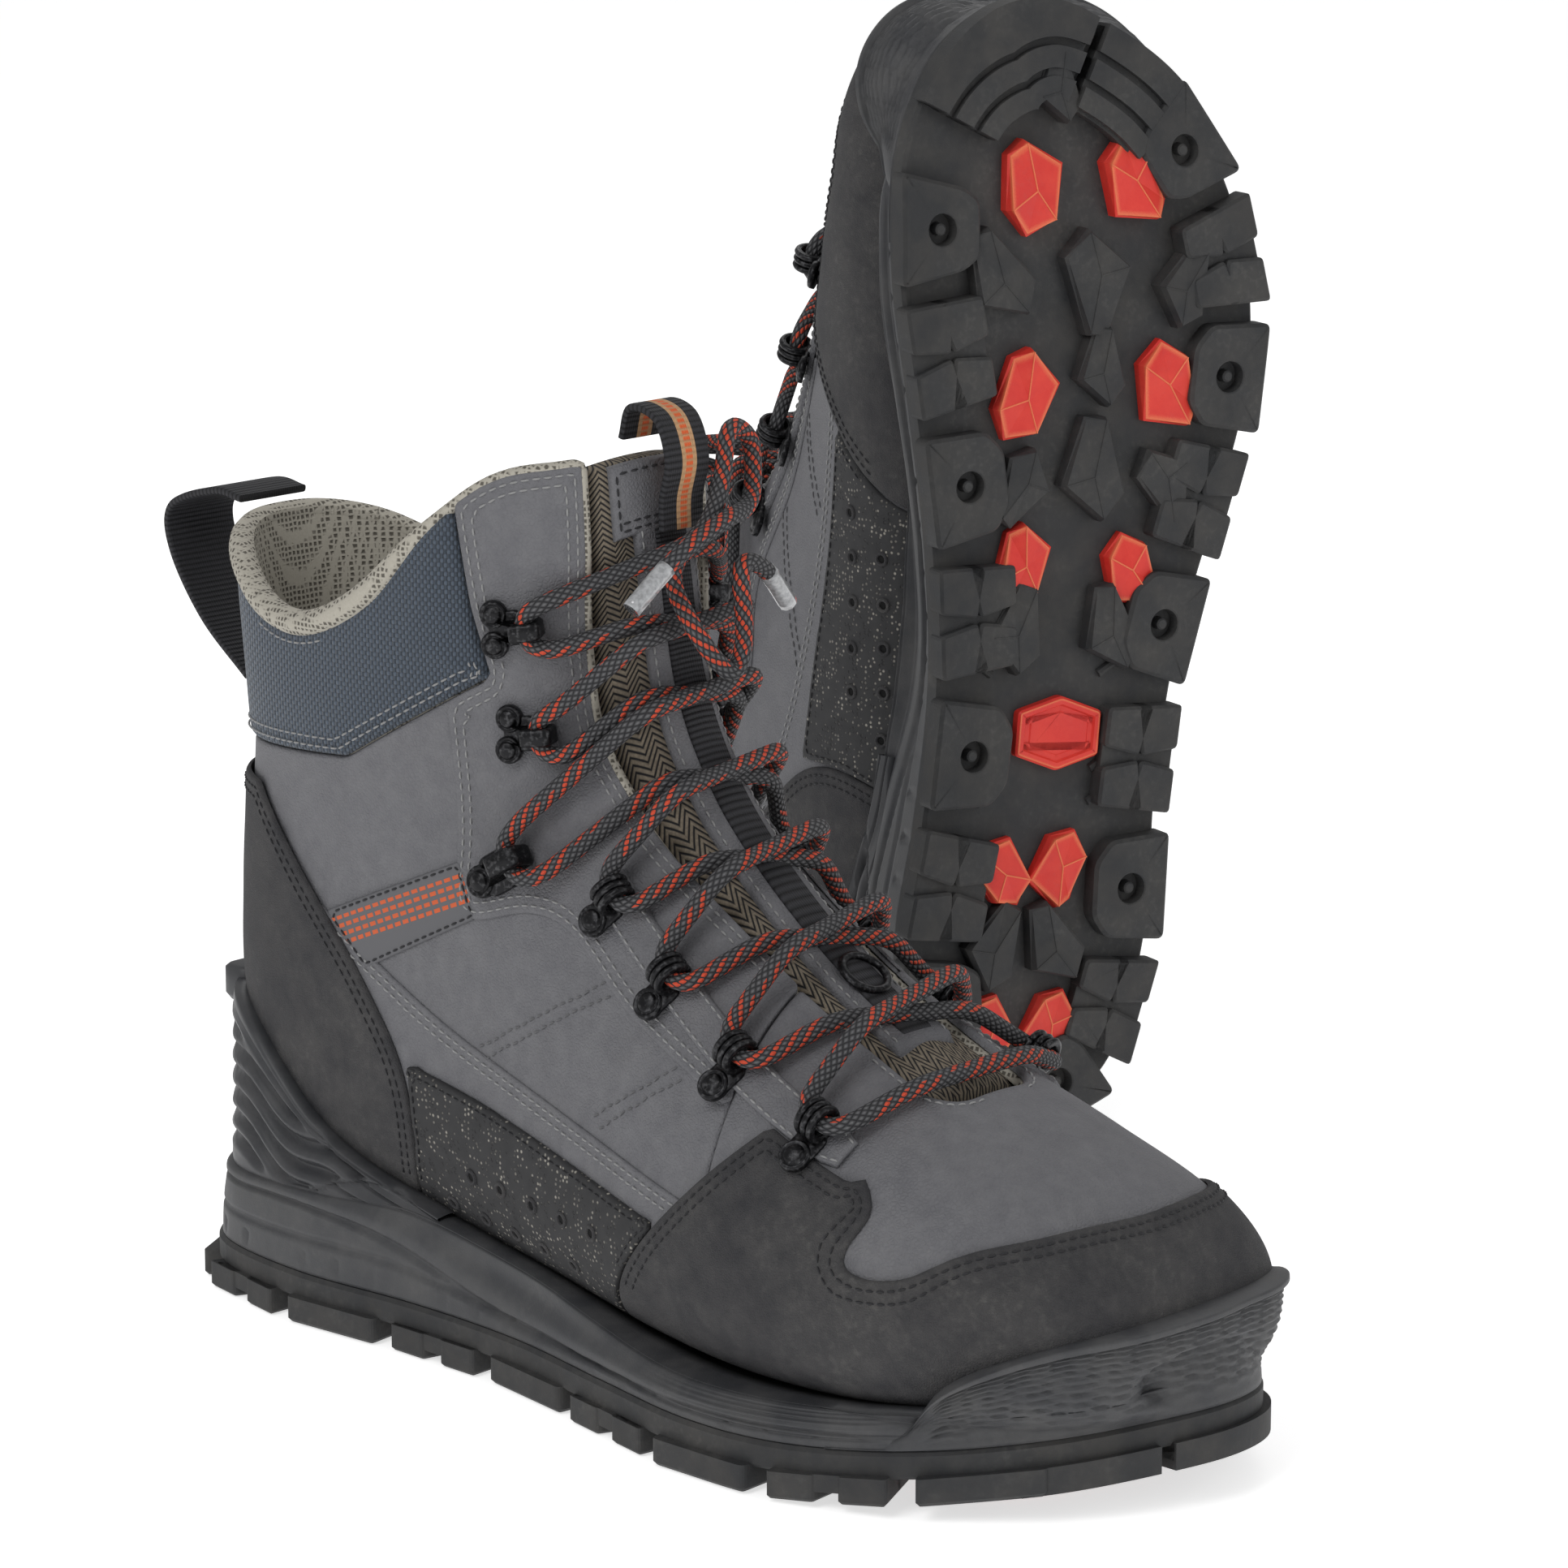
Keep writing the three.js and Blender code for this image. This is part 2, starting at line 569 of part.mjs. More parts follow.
// A closed loop that stands on the front of the tongue.
const tongueLoopBase = [157.5, 222];
const tongueLoopWidth = 15;
function tonguePullLoop() {
  const [x, z] = tongueLoopBase;
  return band(
    [[x, z - 3], [x, z + 5], [x + 2, z + 15], [x - 2, z + 25], [x - 11, z + 27], [x - 14, z + 19]],
    tongueLoopWidth,
    8,
  );
}

// ---- Metal hardware ------------------------------------------------------------------------------------
// Pieces are drawn flat, in x towards the tongue, y up the boot and z out, and then set on the upper.
function setOn(solid, u, angle, lift) {
  const { out, forward, rise } = lastFrame(u, angle);
  const matrix = new THREE.Matrix4().makeBasis(forward, rise, out).setPosition(onLast(u, angle, lift));
  return solid.transform(matrix.elements);
}

const cylinder = (radius, height, sides) =>
  new THREE.CylinderGeometry(radius, radius, height, sides).rotateX(Math.PI / 2).translate(0, 0, height / 2);
const box = (w, d, h) => new THREE.BoxGeometry(w, d, h).translate(0, 0, h / 2);

const plateThickness = 1;
const boreHeight = plateThickness + loopBore / 2;
const boreForward = 1.5;
const loopRivet = 4.2;
const loopWall = 1.6;
const loopTubeLength = 6;

// A riveted tab that carries a short tube for the lace; the lace runs up the boot through it.
function laceLoop() {
  const acrossBoot = (radius, length) =>
    solidFrom(
      cylinder(radius, length, 6)
        .rotateX(Math.PI / 2)
        .translate(boreForward, length / 2, boreHeight),
    );
  const tab = solidFrom(box(11, 8, plateThickness).translate(-5, 0, 0));
  const rivet = solidFrom(cylinder(loopRivet, 2.4, 6).translate(-8, 0, 0));
  const tube = acrossBoot(loopBore / 2 + loopWall, loopTubeLength);
  return join([tab, rivet, tube]).subtract(acrossBoot(loopBore / 2, 20));
}

const hardwareLift = upperThickness + gap;
const loopLift = overlayTop + gap; // the tabs lie clear above the toe overlay

function laceLoops(side) {
  const [from, to] = stripEnds;
  const angle = side * loopAngle;
  const base = strip(from, to, 4, angle, stripWidth, hardwareLift + gap, loopLift + 0.5);
  return join([base, ...loopStations.map((u) => setOn(laceLoop(), u, angle, loopLift))]);
}

// A hook: a plate with rivets, and a neck whose lip leans back over the lace.
const neckHalf = 2;
const hookRivet = 3.6;
function laceHook(size, rivets) {
  const profile = toPoints([
    [-9, 0], [5, 0], [6, 1.5], [6, 6.8], [4.6, 8], [-2, 8], [-2, 6.8], [3.2, 6.8], [4, 5.8], [4, 1.2],
    [-9, 1.2],
  ]);
  const body = extruded(profile, 2 * neckHalf).rotateX(Math.PI / 2).translate(0, neckHalf, 0);
  const heads = rivets.map(([x, y]) => solidFrom(cylinder(hookRivet, 2.6, 6).translate(x, y, 0)));
  const plate = solidFrom(box(9, 2 * hookPlateHalf, 1.2).translate(-4, 0, 0));
  return join([solidFrom(body), plate, ...heads]).scale([size, size, size]);
}

const hookPlateHalf = 4.5;
const hooks = [
  { station: 8.25, angle: 58, size: 1.2, rivets: [[-9, 0]] }, // lock hook
  { station: 9.55, angle: 47, size: 1, rivets: [[-8, -4], [-7, 4]] },
  { station: 11.3, angle: 47, size: 1, rivets: [[-8, -4], [-7, 4]] },
];
const hookLift = hardwareLift + 0.4; // a flat plate on a round shaft
const hook = (i, side) =>
  setOn(laceHook(hooks[i].size, hooks[i].rivets), hooks[i].station, side * hooks[i].angle, hookLift);

// The gaiter ring lies on the tongue between two crossings of the lace, hinged at its upper edge.
const ringStation = 5.02;
const ringLift = 2;
const gaiterRing = () => {
  const ring = solidFrom(new THREE.TorusGeometry(ringRadius, ringWire, 6, 14));
  return setOn(ring, ringStation, 0.01, ringLift);
};

// ---- Lace ----------------------------------------------------------------------------------------------
// Each entry: station, angle on the outer side, then millimetres towards the tongue, up the boot and out.
const passAngle = 19; // the lace lies on the tongue between this angle on each side
const lowPass = 6; // its height there, for the end that passes under
const highPass = lowPass + laceDiameter + 1.3;
const hookPassRise = 0.9; // both pass a little higher between the hooks
const boreLift = loopLift + boreHeight;
const mouth = 6; // half the straight run through a loop
const crossings = [4.52, 5.48, 6.45, 7.55, 8.9, 10.2];
const crossingSlant = 0.14; // stations gained on each side of a crossing
const knotStation = 11.6;

function throughLoop(i) {
  return [-mouth, mouth].map((rise) => [loopStations[i], loopAngle, boreForward, rise, boreLift]);
}

function roundHook(i) {
  const { station, angle, size } = hooks[i];
  const lift = hookLift + 3.9 * size;
  return [[7.5, -6.4], [1.3, -3.7], [1.3, 3.7], [7.5, 6.4]].map(([forward, rise]) => [
    station, angle, forward * size, rise * size, lift,
  ]);
}

// The bow, in millimetres from the knot: towards the inner side, up and out. One end makes the upper loop and
// a tail to the outer side, the other the lower loop and a tail to the inner side.
const upperBow = [
  [0, 0, 11], [10, 12, 10.5], [16, 28, 9.5], [27, 23, 7], [21, 6, 10], [3, 4, 16], [-13, -2, 15],
  [-27, -14, 10],
];
const lowerBow = [
  [10, -3, 5.2], [-1, -2, 4.6], [-9, -9, 6.5], [-11, -24, 16.5], [-1, -36, 17], [5, -26, 17],
  [6, -6, 17], [17, -9, 15], [29, -20, 10],
];

function anchor([station, angle, forward, rise, lift]) {
  const frame = lastFrame(station, angle);
  return onLast(station, angle, lift).addScaledVector(frame.forward, forward).addScaledVector(frame.rise, rise);
}

// One end of the lace: it changes sides at each crossing and passes over every other one.
function laceEnd(firstSide, bow) {
  const stops = [0, 1, 2, 3].map(throughLoop).concat([0, 1, 2].map(roundHook));
  const route = [];
  stops.forEach((stop, i) => {
    const side = i % 2 ? -firstSide : firstSide;
    route.push(...stop.map(([station, angle, ...offsets]) => anchor([station, side * angle, ...offsets])));
    if (i === crossings.length) return;
    const over = (i % 2 === 0) === (firstSide > 0);
    const lift = (over ? highPass : lowPass) + (i > 2 ? hookPassRise : 0);
    route.push(anchor([crossings[i] - crossingSlant, side * passAngle, 0, 0, lift]));
    route.push(anchor([crossings[i] + crossingSlant, -side * passAngle, 0, 0, lift]));
  });
  return route.concat(bow.map(([inwards, rise, lift]) => anchor([knotStation, 0.01, inwards, rise, lift])));
}

// A path with one step from each point to the next.
class LacePath extends THREE.Curve {
  constructor(points) {
    super();
    this.points = points;
  }
  getPoint(t) {
    const place = t * (this.points.length - 1);
    const i = Math.min(Math.floor(place + 1e-6), this.points.length - 2);
    return this.points[i].clone().lerp(this.points[i + 1], place - i);
  }
  getPointAt(t) {
    return this.getPoint(t);
  }
  getTangentAt(t) {
    const i = Math.round(t * (this.points.length - 1));
    const before = this.points[Math.max(i - 1, 0)];
    const after = this.points[Math.min(i + 1, this.points.length - 1)];
    const here = this.points[i];
    const arrive = i > 0 ? here.clone().sub(before).normalize() : new THREE.Vector3();
    const leave = i < this.points.length - 1 ? after.clone().sub(here).normalize() : new THREE.Vector3();
    return arrive.add(leave).normalize();
  }
}

const lacePoints = [
  ...laceEnd(1, upperBow).reverse(),
  anchor([3.74, passAngle, 0, 0, lowPass]),
  anchor([3.74, -passAngle, 0, 0, lowPass]),
  ...laceEnd(-1, lowerBow),
];

function lace() {
  const section = new THREE.Shape();
  section.absarc(0, 0, laceDiameter / 2, 0, 2 * Math.PI);
  const round = new THREE.Shape(section.getSpacedPoints(8).slice(0, 8));
  const extrudePath = new LacePath(lacePoints);
  const steps = lacePoints.length - 1;
  return solidFrom(new THREE.ExtrudeGeometry(round, { steps, extrudePath, bevelEnabled: false }));
}

// ---- Assembly ------------------------------------------------------------------------------------------
const look = (color, roughness, metalness = 0) =>
  new THREE.MeshStandardMaterial({ color, roughness, metalness });
const blackRubber = look(0x26272a, 0.8);
const redRubber = look(0xd8352a, 0.55);
const greyLeather = look(0x6a6a70, 0.75);
const blackLeather = look(0x2b2b2e, 0.8);
const textile = look(0x3c4552, 0.9);
const mesh = look(0xa5a297, 0.95);
const foam = look(0x4a4b4d, 0.95);
const board = look(0xb9a98a, 0.9);
const blackWebbing = look(0x1d1e22, 0.85);
const metal = look(0x17181a, 0.35, 0.6);
const lacing = look(0x3b3a3c, 0.85);

// Every sub-part of one boot, as a solid in the boot's own frame and its material.
const subparts = {
  outsole: [outsole(), blackRubber],
  lug_inserts: [lugInserts(), redRubber],
  midsole: [midsole(), blackRubber],
  toe_bumper: [toeBumper(), blackRubber],
  heel_clip: [heelClip(), blackRubber],
  shank: [shankBlock(0, 0), board],
  insole_board: [insoleBoard(), board],
  footbed: [footbed(), foam],
  lining: [lining(), mesh],
  vamp: [vamp(), greyLeather],
  quarter_lateral: [quarter(outerSide), greyLeather],
  quarter_medial: [quarter(innerSide), greyLeather],
  collar_fabric: [collarFabric(), textile],
  toe_overlay: [toeOverlay(), blackLeather],
  heel_overlay: [heelOverlay(), blackLeather],
  side_panel_lateral: [sidePanel(outerSide), blackLeather],
  side_panel_medial: [sidePanel(innerSide), blackLeather],
  tongue: [tongue(), greyLeather],
  tongue_pull_loop: [tonguePullLoop(), blackWebbing],
  heel_pull_loop: [heelPullLoop(heelLoopReach), blackWebbing],
  lace_loops_lateral: [laceLoops(1), metal],
  lace_loops_medial: [laceLoops(-1), metal],
  lock_hook_lateral: [hook(0, 1), metal],
  lock_hook_medial: [hook(0, -1), metal],
  hook_lower_lateral: [hook(1, 1), metal],
  hook_lower_medial: [hook(1, -1), metal],
  hook_upper_lateral: [hook(2, 1), metal],
  hook_upper_medial: [hook(2, -1), metal],
  lace: [lace(), lacing],
  gaiter_ring: [gaiterRing(), metal],
};

const rightTurn = -42.5; // degrees; the toes of the right boot point forwards and to the right
const rightPlace = [-141.8, 0];
const leftTurn = 28.5; // the sole of the left boot faces forwards and a little to the right
const leftRoll = 5;
const leftPlace = [67.5, 95];

const geometries = Object.entries(subparts).map(([name, [solid, material]]) => {
  return [name, geometryFrom(solid), material];
});
const foldedLoop = geometryFrom(heelPullLoop(foldedLoopReach));

function addBoot(side) {
  const boot = new THREE.Group();
  for (const [name, geometry, material] of geometries) {
    const folded = side === "left" && name === "heel_pull_loop";
    const piece = new THREE.Mesh(folded ? foldedLoop : geometry, material);
    piece.name = `${side}_${name}`;
    boot.add(piece);
  }
  return boot;
}

// Sets a group down on the ground.
function settle(group) {
  group.updateMatrixWorld(true);
  group.position.z -= new THREE.Box3().setFromObject(group, true).min.z;
}

const right = addBoot("right");
right.rotation.z = THREE.MathUtils.degToRad(rightTurn);
right.position.set(...rightPlace, 0);

// The left boot: mirrored, stood on its heel with the toes up, and laid back until its collar meets the ground.
const mirrored = addBoot("left");
mirrored.scale.y = -1;
const onHeel = new THREE.Group().add(mirrored);
const [toRight, away, upwards] = [0, 1, 2].map((axis) => new THREE.Vector3().setComponent(axis, 1));
onHeel.setRotationFromMatrix(new THREE.Matrix4().makeBasis(upwards, toRight, away));
const loopBack = heelLoopRoot - heelLoopStand - foldedLoopReach - webbing / 2;
const layBack = -Math.atan2(loopBack + edgeLugProud, shaftHeight - 40);
const leaning = new THREE.Group().add(onHeel);
leaning.rotation.x = layBack;
const rolled = new THREE.Group().add(leaning);
rolled.rotation.y = THREE.MathUtils.degToRad(leftRoll);
const left = new THREE.Group().add(rolled);
left.rotation.z = THREE.MathUtils.degToRad(leftTurn);
left.position.set(...leftPlace, 0);
settle(left);

const pair = new THREE.Group().add(right, left);
pair.updateMatrixWorld(true);

// The origin lies under the middle of everything but the laces.
const whole = new THREE.Box3();
pair.traverse((o) => {
  if (o.isMesh && !o.name.endsWith("_lace")) whole.expandByObject(o, true);
});
const centre = whole.getCenter(new THREE.Vector3());
pair.position.set(-centre.x, -centre.y, -whole.min.z);

const group = new THREE.Group().add(pair);
export default group;
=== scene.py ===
"""A pair of lace-up wading boots: the right one stands on its sole, the left one leans back behind it.

Every boot piece is drawn once, as for the right boot, in millimetres in the boot's own frame: x runs from the
back of the heel to the toe, +y is the inner side of the foot, z is height above the ground. The left boot is
its mirror image. Lengths in Blender are metres."""
import json
import math

import bpy
import numpy as np
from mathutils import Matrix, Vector


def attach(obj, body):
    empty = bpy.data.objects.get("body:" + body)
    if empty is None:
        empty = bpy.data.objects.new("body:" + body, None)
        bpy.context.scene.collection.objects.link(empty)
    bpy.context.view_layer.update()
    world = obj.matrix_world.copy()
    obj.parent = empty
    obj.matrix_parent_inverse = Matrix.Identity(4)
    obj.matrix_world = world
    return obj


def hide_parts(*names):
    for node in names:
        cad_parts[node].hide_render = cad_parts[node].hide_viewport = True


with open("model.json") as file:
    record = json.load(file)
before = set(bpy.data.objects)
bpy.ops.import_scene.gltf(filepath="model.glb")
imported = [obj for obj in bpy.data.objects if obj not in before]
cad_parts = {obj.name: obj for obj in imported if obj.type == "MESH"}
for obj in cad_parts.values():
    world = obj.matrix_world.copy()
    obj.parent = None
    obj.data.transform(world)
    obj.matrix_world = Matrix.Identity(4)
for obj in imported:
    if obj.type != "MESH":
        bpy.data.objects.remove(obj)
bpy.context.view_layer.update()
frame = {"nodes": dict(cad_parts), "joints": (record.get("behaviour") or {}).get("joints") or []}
SIDES = ("right", "left")
MM = 0.001

# ---- Camera -------------------------------------------------------------------------------------------
# A long lens a little above the boots, looking along +Y.
aim = np.array([0.013, -0.0441, 0.1293])
camera_distance = 1.6
camera_rise = math.radians(12.73)
camera_data = bpy.data.cameras.new("camera")
camera_data.lens = 135.5
camera_data.sensor_width = 36
camera = bpy.data.objects.new("camera", camera_data)
bpy.context.scene.collection.objects.link(camera)
away = np.array([0, -math.cos(camera_rise), math.sin(camera_rise)])
camera.location = aim + camera_distance * away
camera.rotation_euler = (math.pi / 2 - camera_rise, 0, 0)
bpy.context.scene.camera = camera

# ---- Where each boot is -------------------------------------------------------------------------------
# Two joints of each boot fix its place: the pivots of the gaiter ring and of the tongue's pull loop, whose
# axes both run across the boot.
RING_PIVOT = np.array([214.53, 0, 118.64])
LOOP_PIVOT = np.array([157.5, 0, 220])
joints = {j["name"]: j for j in frame["joints"]}


def boot_placing(side):
    ring = np.array(joints[f"{side}_ring_swing"]["pos_m"]) / MM
    loop = np.array(joints[f"{side}_tongue_loop_flex"]["pos_m"]) / MM
    hand = 1 if side == "right" else -1
    across = hand * np.array(joints[f"{side}_tongue_loop_flex"]["axis"])

    def basis(run, y, turn):
        run = run / np.linalg.norm(run)
        return np.stack([run, y, turn * np.cross(run, y)], 1)

    drawn = basis(LOOP_PIVOT - RING_PIVOT, np.array([0.0, 1, 0]), 1)
    placed = basis(loop - ring, across / np.linalg.norm(across), hand)
    turn = placed @ np.linalg.inv(drawn)
    return turn, loop - turn @ LOOP_PIVOT


PLACING = {side: boot_placing(side) for side in SIDES}


def new_mesh(name, points, faces, uv=None, smooth=True, place=None):
    """A mesh from points in metres and a list of face arrays; place, in millimetres, is for the materials."""
    mesh = bpy.data.meshes.new(name)
    loops = np.concatenate([f.ravel() for f in faces]).astype(np.int32)
    sizes = np.concatenate([np.full(len(f), f.shape[1]) for f in faces])
    starts = np.concatenate([[0], np.cumsum(sizes)[:-1]]).astype(np.int32)
    mesh.vertices.add(len(points))
    mesh.vertices.foreach_set("co", np.asarray(points, np.float32).ravel())
    mesh.loops.add(len(loops))
    mesh.loops.foreach_set("vertex_index", loops)
    mesh.polygons.add(len(sizes))
    mesh.polygons.foreach_set("loop_start", starts)
    mesh.polygons.foreach_set("use_smooth", np.full(len(sizes), smooth))
    if uv is not None:
        layer = mesh.uv_layers.new(name="weave")
        layer.uv.foreach_set("vector", np.asarray(uv, np.float32)[loops].ravel())
    if place is not None:
        attribute = mesh.attributes.new("place", "FLOAT_VECTOR", "POINT")
        attribute.data.foreach_set("vector", np.asarray(place, np.float32).ravel())
    mesh.update(calc_edges=True)
    mesh.validate()
    return mesh


def fit(name, points, faces, material, slot, nodes=(), body="boot", uv=None, smooth=True, marks=None,
        sides=SIDES):
    """Adds a piece to both boots, from points in the boot's frame. Returns {side: object}."""
    made = {}
    for side in sides:
        turn, shift = PLACING[side]
        world = (points @ turn.T + shift) * MM
        sided = faces if side == "right" else [f[:, ::-1] for f in faces]
        mesh = new_mesh(f"{side}_{name}", world, sided, uv, smooth, points)
        for key, values in (marks or {}).items():
            attribute = mesh.attributes.new(key, "FLOAT", "POINT")
            attribute.data.foreach_set("value", np.asarray(values, np.float32))
        piece = bpy.data.objects.new(f"{side}_{name}", mesh)
        bpy.context.scene.collection.objects.link(piece)
        mesh.materials.append(material)
        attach(piece, f"{side}_{body}")
        if nodes:
            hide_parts(*[f"{side}_{n}" for n in nodes])
        made[side] = piece
    return made


# ---- The last -----------------------------------------------------------------------------------------
# The upper's layers all follow one surface. From toe to collar, each station has its front (or top)
# point, its back (or bottom) point, the half widths on the outer and inner side, and how far down it is
# widest.
STATIONS = np.array([
    [319, 42, 316, 32, 14, 24, 0.5],
    [315, 59, 305, 29, 32, 44, 0.55],
    [301, 74, 286, 26, 46, 51, 0.6],
    [276, 86, 258, 23, 54, 52, 0.66],
    [247, 98, 224, 22, 56, 49, 0.68],
    [219, 113, 186, 23, 52, 43, 0.68],
    [195, 131, 140, 26, 44, 38, 0.66],
    [177, 149, 90, 29, 38, 36, 0.62],
    [166, 166, 46, 32, 36, 35, 0.58],
    [160, 181, 19, 48, 35, 35, 0.54],
    [157, 195, 9, 74, 36, 36, 0.5],
    [155, 208, 10, 102, 38, 38, 0.5],
    [153, 220, 14, 130, 41, 40, 0.5],
    [151, 233, 17, 158, 43, 42, 0.5],
    [149, 246, 15, 188, 45, 44, 0.5],
    [147, 262, 9, 224, 47, 46, 0.5],
])
TOP = len(STATIONS) - 1
HEEL_STATION = 9
EXTENDED = np.vstack([2 * STATIONS[0] - STATIONS[1], STATIONS, 2 * STATIONS[-1] - STATIONS[-2]])


def smoothstep(t):
    t = np.clip(t, 0, 1)
    return t * t * (3 - 2 * t)


def last(u, angle):
    """Points of the last: u counts stations; angle is in degrees from the front, positive on the outer side."""
    u, angle = np.broadcast_arrays(np.asarray(u, float), np.asarray(angle, float))
    i = np.clip(np.floor(u).astype(int), 0, TOP - 1)
    f = (u - i)[..., None]
    a, b, c, d = (EXTENDED[i + k] for k in range(4))
    s = 0.5 * (2 * b + (c - a) * f + (2 * a - 5 * b + 4 * c - d) * f**2 + (3 * (b - c) + d - a) * f**3)
    turn = np.radians(angle)
    cos, sin = np.abs(np.cos(turn)), np.sin(turn)
    on_top = np.cos(turn) >= 0
    widest = s[..., 6]
    down = np.where(on_top, widest * (1 - cos), widest + (1 - widest) * cos)
    power = np.where(on_top, 0.9, 0.9 - 0.45 * smoothstep((HEEL_STATION - u) / 5))
    half = np.where(sin >= 0, s[..., 4], s[..., 5])
    x = s[..., 0] + (s[..., 2] - s[..., 0]) * down
    z = s[..., 1] + (s[..., 3] - s[..., 1]) * down
    return np.stack([x, -np.sign(sin) * half * np.abs(sin) ** power, z], -1)


def unit(v):
    return v / np.maximum(np.linalg.norm(v, axis=-1, keepdims=True), 1e-12)


def dot(a, b):
    return (a * b).sum(-1, keepdims=True)


def last_frame(u, angle):
    """The outward direction there, and the directions towards the front and up the boot."""
    u, angle = np.broadcast_arrays(np.asarray(u, float), np.asarray(angle, float))
    up = last(np.minimum(u + 0.02, TOP), angle) - last(np.maximum(u - 0.02, 0), angle)
    around = last(u, angle + 0.5) - last(u, angle - 0.5)
    out = unit(np.cross(around, up))
    centre = (last(u, 0 * angle) + last(u, 0 * angle + 180)) / 2
    out = out * np.where(dot(out, last(u, angle) - centre) < 0, -1, 1)
    rise = unit(up - out * dot(up, out))
    forward = around * np.where(np.sin(np.radians(angle)) > 0, -1, 1)[..., None]
    forward = forward - out * dot(forward, out)
    return out, unit(forward - rise * dot(forward, rise)), rise


def on_last(u, angle, lift):
    return last(u, angle) + last_frame(u, angle)[0] * np.asarray(lift, float)[..., None]


# ---- Panels: pieces cut from a sheet and laid on the last ---------------------------------------------
def spline(points, steps=6):
    """A smooth line through the points."""
    p = np.array(points, float)
    p = np.vstack([2 * p[0] - p[1], p, 2 * p[-1] - p[-2]])
    t = np.linspace(0, 1, steps, endpoint=False)[:, None]
    rows = [
        0.5 * (2 * b + (c - a) * t + (2 * a - 5 * b + 4 * c - d) * t**2 + (3 * (b - c) + d - a) * t**3)
        for a, b, c, d in zip(p, p[1:], p[2:], p[3:])
    ]
    return np.vstack([*rows, p[-2:-1]])


def inside(x, y, outline):
    """Signed distance to a closed outline, positive inside."""
    p = np.asarray(outline, float)
    best = np.full(x.shape, 1e9)
    within = np.zeros(x.shape, bool)
    for (ax, ay), (bx, by) in zip(p, np.roll(p, -1, 0)):
        dx, dy = bx - ax, by - ay
        t = np.clip(((x - ax) * dx + (y - ay) * dy) / max(dx * dx + dy * dy, 1e-9), 0, 1)
        best = np.minimum(best, (x - ax - t * dx) ** 2 + (y - ay - t * dy) ** 2)
        if ay != by:
            within ^= ((ay > y) != (by > y)) & (x < ax + (y - ay) / (by - ay) * dx)
    return np.where(within, 1, -1) * np.sqrt(best)


def side_view(outline):
    return lambda p: inside(p[..., 0], p[..., 2], outline)


def plan_view(outline):
    return lambda p: inside(p[..., 0], p[..., 1], outline)


def split(data, faces, values, drop):
    """Cuts the triangles where values pass zero. With drop, only the side above zero is kept."""
    sign = values > 0
    count = sign[faces].sum(1)
    kept = [faces[count == 3]]
    if not drop:
        kept.append(faces[count == 0])
    mixed = faces[(count == 1) | (count == 2)]
    if not len(mixed):
        return data, np.vstack(kept)
    lone = sign[mixed] == (sign[mixed].sum(1) == 1)[:, None]
    first = lone.argmax(1)
    mixed = np.stack([mixed[np.arange(len(mixed)), (first + k) % 3] for k in range(3)], 1)
    pairs = np.sort(np.vstack([mixed[:, [0, 1]], mixed[:, [0, 2]]]), 1)
    edges, back = np.unique(pairs, axis=0, return_inverse=True)
    back = back.reshape(-1)
    a, b = values[edges[:, 0]], values[edges[:, 1]]
    t = np.clip(a / (a - b), 0, 1)[:, None]
    added = data[edges[:, 0]] * (1 - t) + data[edges[:, 1]] * t
    p, q = len(data) + back[: len(mixed)], len(data) + back[len(mixed):]
    lone_above = sign[mixed[:, 0]]
    tips = np.stack([mixed[:, 0], p, q], 1)
    rests = np.vstack([np.stack([p, mixed[:, 1], mixed[:, 2]], 1), np.stack([p, mixed[:, 2], q], 1)])
    twice = np.concatenate([lone_above, lone_above])
    kept += [tips, rests] if not drop else [tips[lone_above], rests[~twice]]
    return np.vstack([data, added]), np.vstack(kept)


def compact(data, faces):
    used, back = np.unique(faces, return_inverse=True)
    return data[used], back.reshape(faces.shape)


